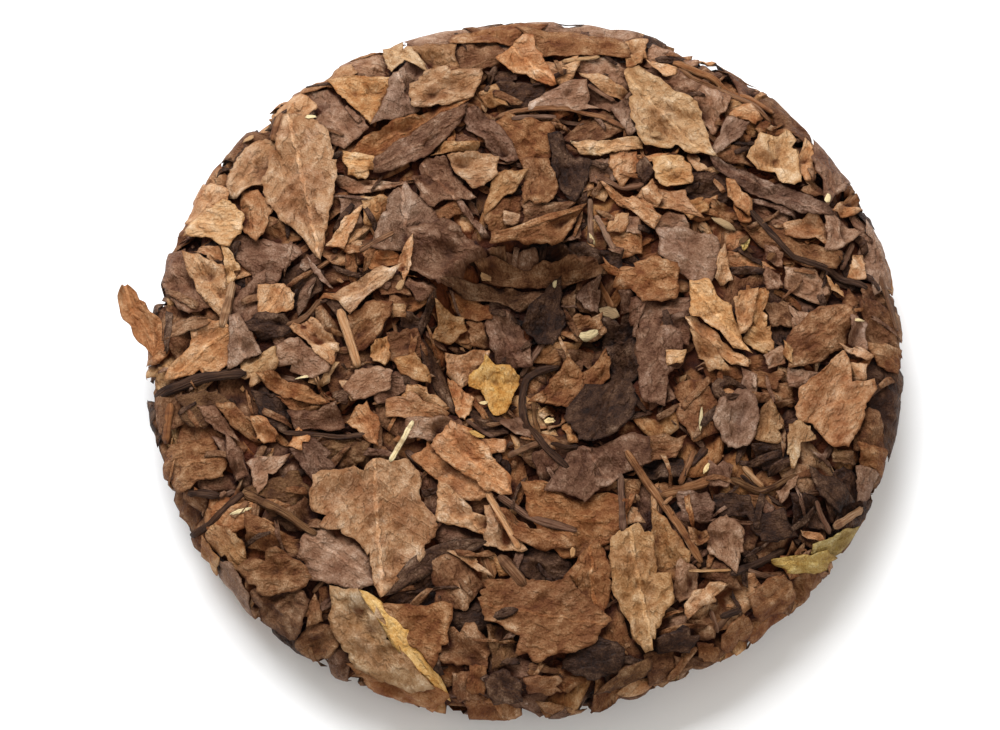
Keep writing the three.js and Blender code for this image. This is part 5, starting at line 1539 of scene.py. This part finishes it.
def bud_finish(name):
    """Bud: pale down in lines along it."""
    make = Finish(name)
    along, around, seed = make.split(make.attribute("leaf"))
    down = make.noise(make.joined(along * 0.25, around * 2.2, seed * 3.0), 2.2, 3.0)
    colour = make.scaled(make.attribute("tone", "Color"), 0.5 + down * 0.95)
    return make.finish(colour, 0.55 + down * 0.3, down, 0.6)


def core_finish(name, colour):
    """Crumbled tea under the leaves: dark, partly as painted shade for the gaps between leaves, with lighter
    specks.
    """
    make = Finish(name)
    place = make.node("ShaderNodeTexCoord", None, "Object")
    crumbs = make.noise(place, 500.0, 4.0, 0.7)
    specks = make.node("ShaderNodeTexVoronoi", {"feature": "F1"}, "Distance", Vector=place, Scale=420.0)
    dark = make.scaled(make.tinted((*linear(colour), 1), CORE_TINT, 1.0), 0.5 + crumbs * 1.1)
    speckled = make.tinted(dark, SPECK_TINT, specks.step(0.3, 0.1) * 0.6)
    return make.finish(speckled, 0.75 + crumbs * 0.15, crumbs + specks * 0.4, 1.2)


# --- The add-on ---

def colour_property(name, description, display):
    """A colour, as its red, green and blue from 0 to 255 on a display."""
    return bpy.props.FloatVectorProperty(name=name, description=description, subtype="COLOR_GAMMA", size=3,
                                         default=tuple(c / 255 for c in display), min=0, max=1)


def number_property(name, description, default, **limits):
    """A number with its unit and limits."""
    return bpy.props.FloatProperty(name=name, description=description, default=default, **limits)


class TeaCakeSizes(bpy.types.PropertyGroup):
    """How the cake is laid."""

    seed: bpy.props.IntProperty(name="Seed", description="Start of the random draws", default=11, min=0)
    thickness: number_property("Leaf thickness", "Thickness of one dried leaf", 0.3 * MM, unit="LENGTH",
                               precision=5)
    filling: number_property("Filling", "Share of the filling leaves that is laid", 1.0, min=0.1, max=1.5)
    filling_reach: number_property("Filling reach", "How far out along the surface the filling goes",
                                   104 * MM, unit="LENGTH")


class TeaCakeColours(bpy.types.PropertyGroup):
    """Tones of the dried leaves, as they look."""

    tan: colour_property("Tan", "Dry upper face of a leaf", (169, 126, 89))
    light: colour_property("Light tan", "Palest leaves", (177, 135, 93))
    ochre: colour_property("Ochre", "Yellowish brown leaves", (154, 110, 70))
    yellow: colour_property("Yellow", "Yellow leaves", (198, 152, 86))
    orange: colour_property("Orange tan", "Reddish tan leaves", (160, 112, 74))
    rust: colour_property("Rust", "Rust brown leaves", (128, 84, 50))
    umber: colour_property("Umber", "Dark brown leaves", (114, 76, 48))
    plum: colour_property("Plum", "Brown leaves with a purple bloom", (107, 74, 54))
    dark: colour_property("Dark", "Nearly black leaves", (61, 37, 22))
    mauve: colour_property("Mauve", "Pinkish grey leaves", (136, 101, 77))
    olive: colour_property("Olive", "Greenish leaves", (98, 65, 37))
    moss: colour_property("Moss", "Yellow green leaves", (163, 135, 76))
    cream: colour_property("Cream", "Torn pale ends", (224, 198, 148))
    silver: colour_property("Silver", "Downy buds", (158, 132, 100))
    # The core's near-black tone partly paints the shade at the bottom of the gaps between leaves.
    core: colour_property("Core", "Crumbled tea under the leaves", (44, 25, 10))
    spread: number_property("Spread", "Share by which leaves of a tone differ in value", 0.13, min=0, max=0.5)


class TeaCakeStage(bpy.types.PropertyGroup):
    """Floor, lights and camera."""

    floor_colour: colour_property("Floor", "Colour of the floor", (250, 250, 250))
    key_power: number_property("Key light", "Power of the large light behind and above", 37.5, unit="POWER")
    fill_power: number_property("Fill light", "Power of the light from the front", 6.5, unit="POWER")
    sky: number_property("Sky", "Strength of the even light all round", 0.5, min=0)
    elevation: number_property("Elevation", "Height of the view over the horizontal", math.radians(65),
                               subtype="ANGLE")
    distance: number_property("Distance", "From the camera to the point it looks at", 1.2, unit="LENGTH")
    lens: number_property("Lens", "Focal length", 162.9, unit="CAMERA")
    target: bpy.props.FloatVectorProperty(name="Target", description="Point that the camera looks at",
                                          default=(-6.7 * MM, -2.7 * MM, 15 * MM), subtype="TRANSLATION")


class TEACAKE_OT_core(bpy.types.Operator):
    """Makes the dark mass under the leaves"""

    bl_idname = "teacake.core"
    bl_label = "Press Core"

    def execute(self, context):
        make_core(context, core_finish("crumbled_tea_and_gap_shade", context.scene.tea_cake_colours.core))
        return {"FINISHED"}


class TEACAKE_OT_leaves(bpy.types.Operator):
    """Lays the leaves, one piece for each tone"""

    bl_idname = "teacake.leaves"
    bl_label = "Lay Leaves"

    def execute(self, context):
        for name, tones in LEAF_PIECES.items():
            mottling, gloss = (0.5, 0.5) if name in SMOOTH_PIECES else (0.65, 0.6)
            material = leaf_finish(name.replace("leaves", "leaf"), mottling, 0.55, gloss)
            make_shapes(context, name, "leaf", tones, material)
        return {"FINISHED"}


class TEACAKE_OT_stalks(bpy.types.Operator):
    """Lays the stalks"""

    bl_idname = "teacake.stalks"
    bl_label = "Lay Stalks"

    def execute(self, context):
        make_shapes(context, "stalks", "stalk", None, stalk_finish("stalk"))
        return {"FINISHED"}


class TEACAKE_OT_rolls(bpy.types.Operator):
    """Lays the leaves that are rolled up lengthwise"""

    bl_idname = "teacake.rolls"
    bl_label = "Lay Rolled Leaves"

    def execute(self, context):
        make_shapes(context, "rolled_leaves", "roll", None, leaf_finish("rolled_leaf", 0.5, 0.7, 0.55))
        return {"FINISHED"}


class TEACAKE_OT_buds(bpy.types.Operator):
    """Lays the downy buds and pale torn ends"""

    bl_idname = "teacake.buds"
    bl_label = "Lay Buds"

    def execute(self, context):
        make_shapes(context, "buds", "bud", None, bud_finish("bud"))
        return {"FINISHED"}


class TEACAKE_OT_crumbs(bpy.types.Operator):
    """Lays the crumbs"""

    bl_idname = "teacake.crumbs"
    bl_label = "Lay Crumbs"

    def execute(self, context):
        make_shapes(context, "crumbs", "crumb", None, leaf_finish("crumb", 0.3, 0.3, 0.65))
        return {"FINISHED"}


class TEACAKE_OT_stray_leaf(bpy.types.Operator):
    """Adds the leaf that sticks out of the edge"""

    bl_idname = "teacake.stray_leaf"
    bl_label = "Add Stray Leaf"

    def execute(self, context):
        make_stray_leaf(context, leaf_finish("stray", 0.5, 0.5, 0.6))
        return {"FINISHED"}


def add_aimed(name, data, place, target):
    """A light or a camera that faces a point."""
    aimed = bpy.data.objects.new(name, data)
    aimed.location = place
    aimed.rotation_euler = (target - aimed.location).to_track_quat("-Z", "Y").to_euler()
    bpy.context.scene.collection.objects.link(aimed)
    return aimed


def add_light(name, place, target, power):
    """A large square light."""
    data = bpy.data.lights.new(name, "AREA")
    data.size = LIGHT_SIZE
    data.energy = power
    return add_aimed(name, data, place, target)


class TEACAKE_OT_stage(bpy.types.Operator):
    """Sets the floor, the lights and the camera"""

    bl_idname = "teacake.stage"
    bl_label = "Set Stage"

    def execute(self, context):
        stage = context.scene.tea_cake_stage
        make = Finish("floor")
        place = make.node("ShaderNodeTexCoord", None, "Object")
        pale = (*linear(stage.floor_colour), 1)
        shade = make.scaled(make.tinted(pale, (1, 1, 1, 1), 1.0), 0.99 + make.noise(place, 3.0) * 0.02)
        make.finish(shade, 0.8, make.noise(place, 900.0), 0.02)
        corners = FLOOR_HALF * np.array([(-1, -1, 0), (1, -1, 0), (1, 1, 0), (-1, 1, 0)])
        floor = make_mesh("floor", corners, NO_TRIANGLES, np.array([[0, 1, 2, 3]]), make.material)
        scene = context.scene
        from_target = (0, -math.cos(stage.elevation), math.sin(stage.elevation))
        target = Vector(stage.target)
        eye = [a + stage.distance * b for a, b in zip(target, from_target)]
        camera = add_aimed("camera", bpy.data.cameras.new("camera"), eye, target)
        camera.data.lens = stage.lens
        camera.data.sensor_width = SENSOR_WIDTH
        scene.camera = camera
        key = add_light("key", KEY_PLACE, target, stage.key_power)
        key.data.color = KEY_COLOUR
        add_light("fill", FILL_PLACE, target, stage.fill_power)
        world = bpy.data.worlds.new("studio")
        world.use_nodes = True
        background = world.node_tree.nodes["Background"]
        background.inputs["Color"].default_value = SKY_COLOUR
        background.inputs["Strength"].default_value = stage.sky
        scene.world = world
        scene.view_settings.view_transform = "Standard"
        return {"FINISHED"}


class TEACAKE_PT_panel(bpy.types.Panel):
    """The cake's steps and settings"""

    bl_idname = "TEACAKE_PT_panel"
    bl_label = "Pressed Tea Cake"
    bl_space_type = "VIEW_3D"
    bl_region_type = "UI"
    bl_category = "Tea Cake"

    def draw(self, context):
        for group in ("tea_cake_sizes", "tea_cake_colours", "tea_cake_stage"):
            settings = getattr(context.scene, group)
            for name in settings.bl_rna.properties.keys():
                if name not in ("rna_type", "name"):
                    self.layout.prop(settings, name)
        for operator in OPERATORS:
            self.layout.operator(operator.bl_idname)


GROUPS = {"tea_cake_sizes": TeaCakeSizes, "tea_cake_colours": TeaCakeColours, "tea_cake_stage": TeaCakeStage}
OPERATORS = (TEACAKE_OT_core, TEACAKE_OT_leaves, TEACAKE_OT_stalks, TEACAKE_OT_rolls, TEACAKE_OT_buds,
             TEACAKE_OT_crumbs, TEACAKE_OT_stray_leaf, TEACAKE_OT_stage)


def register():
    """Registers the groups, steps and panel, and gives the scene its settings."""
    for item in (*GROUPS.values(), *OPERATORS, TEACAKE_PT_panel):
        bpy.utils.register_class(item)
    for name, group in GROUPS.items():
        setattr(bpy.types.Scene, name, bpy.props.PointerProperty(type=group))


def unregister():
    """Takes back what register does."""
    for name in GROUPS:
        delattr(bpy.types.Scene, name)
    for item in (TEACAKE_PT_panel, *reversed(OPERATORS), *reversed(GROUPS.values())):
        bpy.utils.unregister_class(item)


def main():
    """Runs every step in order."""
    register()
    for operator in OPERATORS:
        group, name = operator.bl_idname.split(".")
        getattr(getattr(bpy.ops, group), name)()


if __name__ == "__main__":
    main()
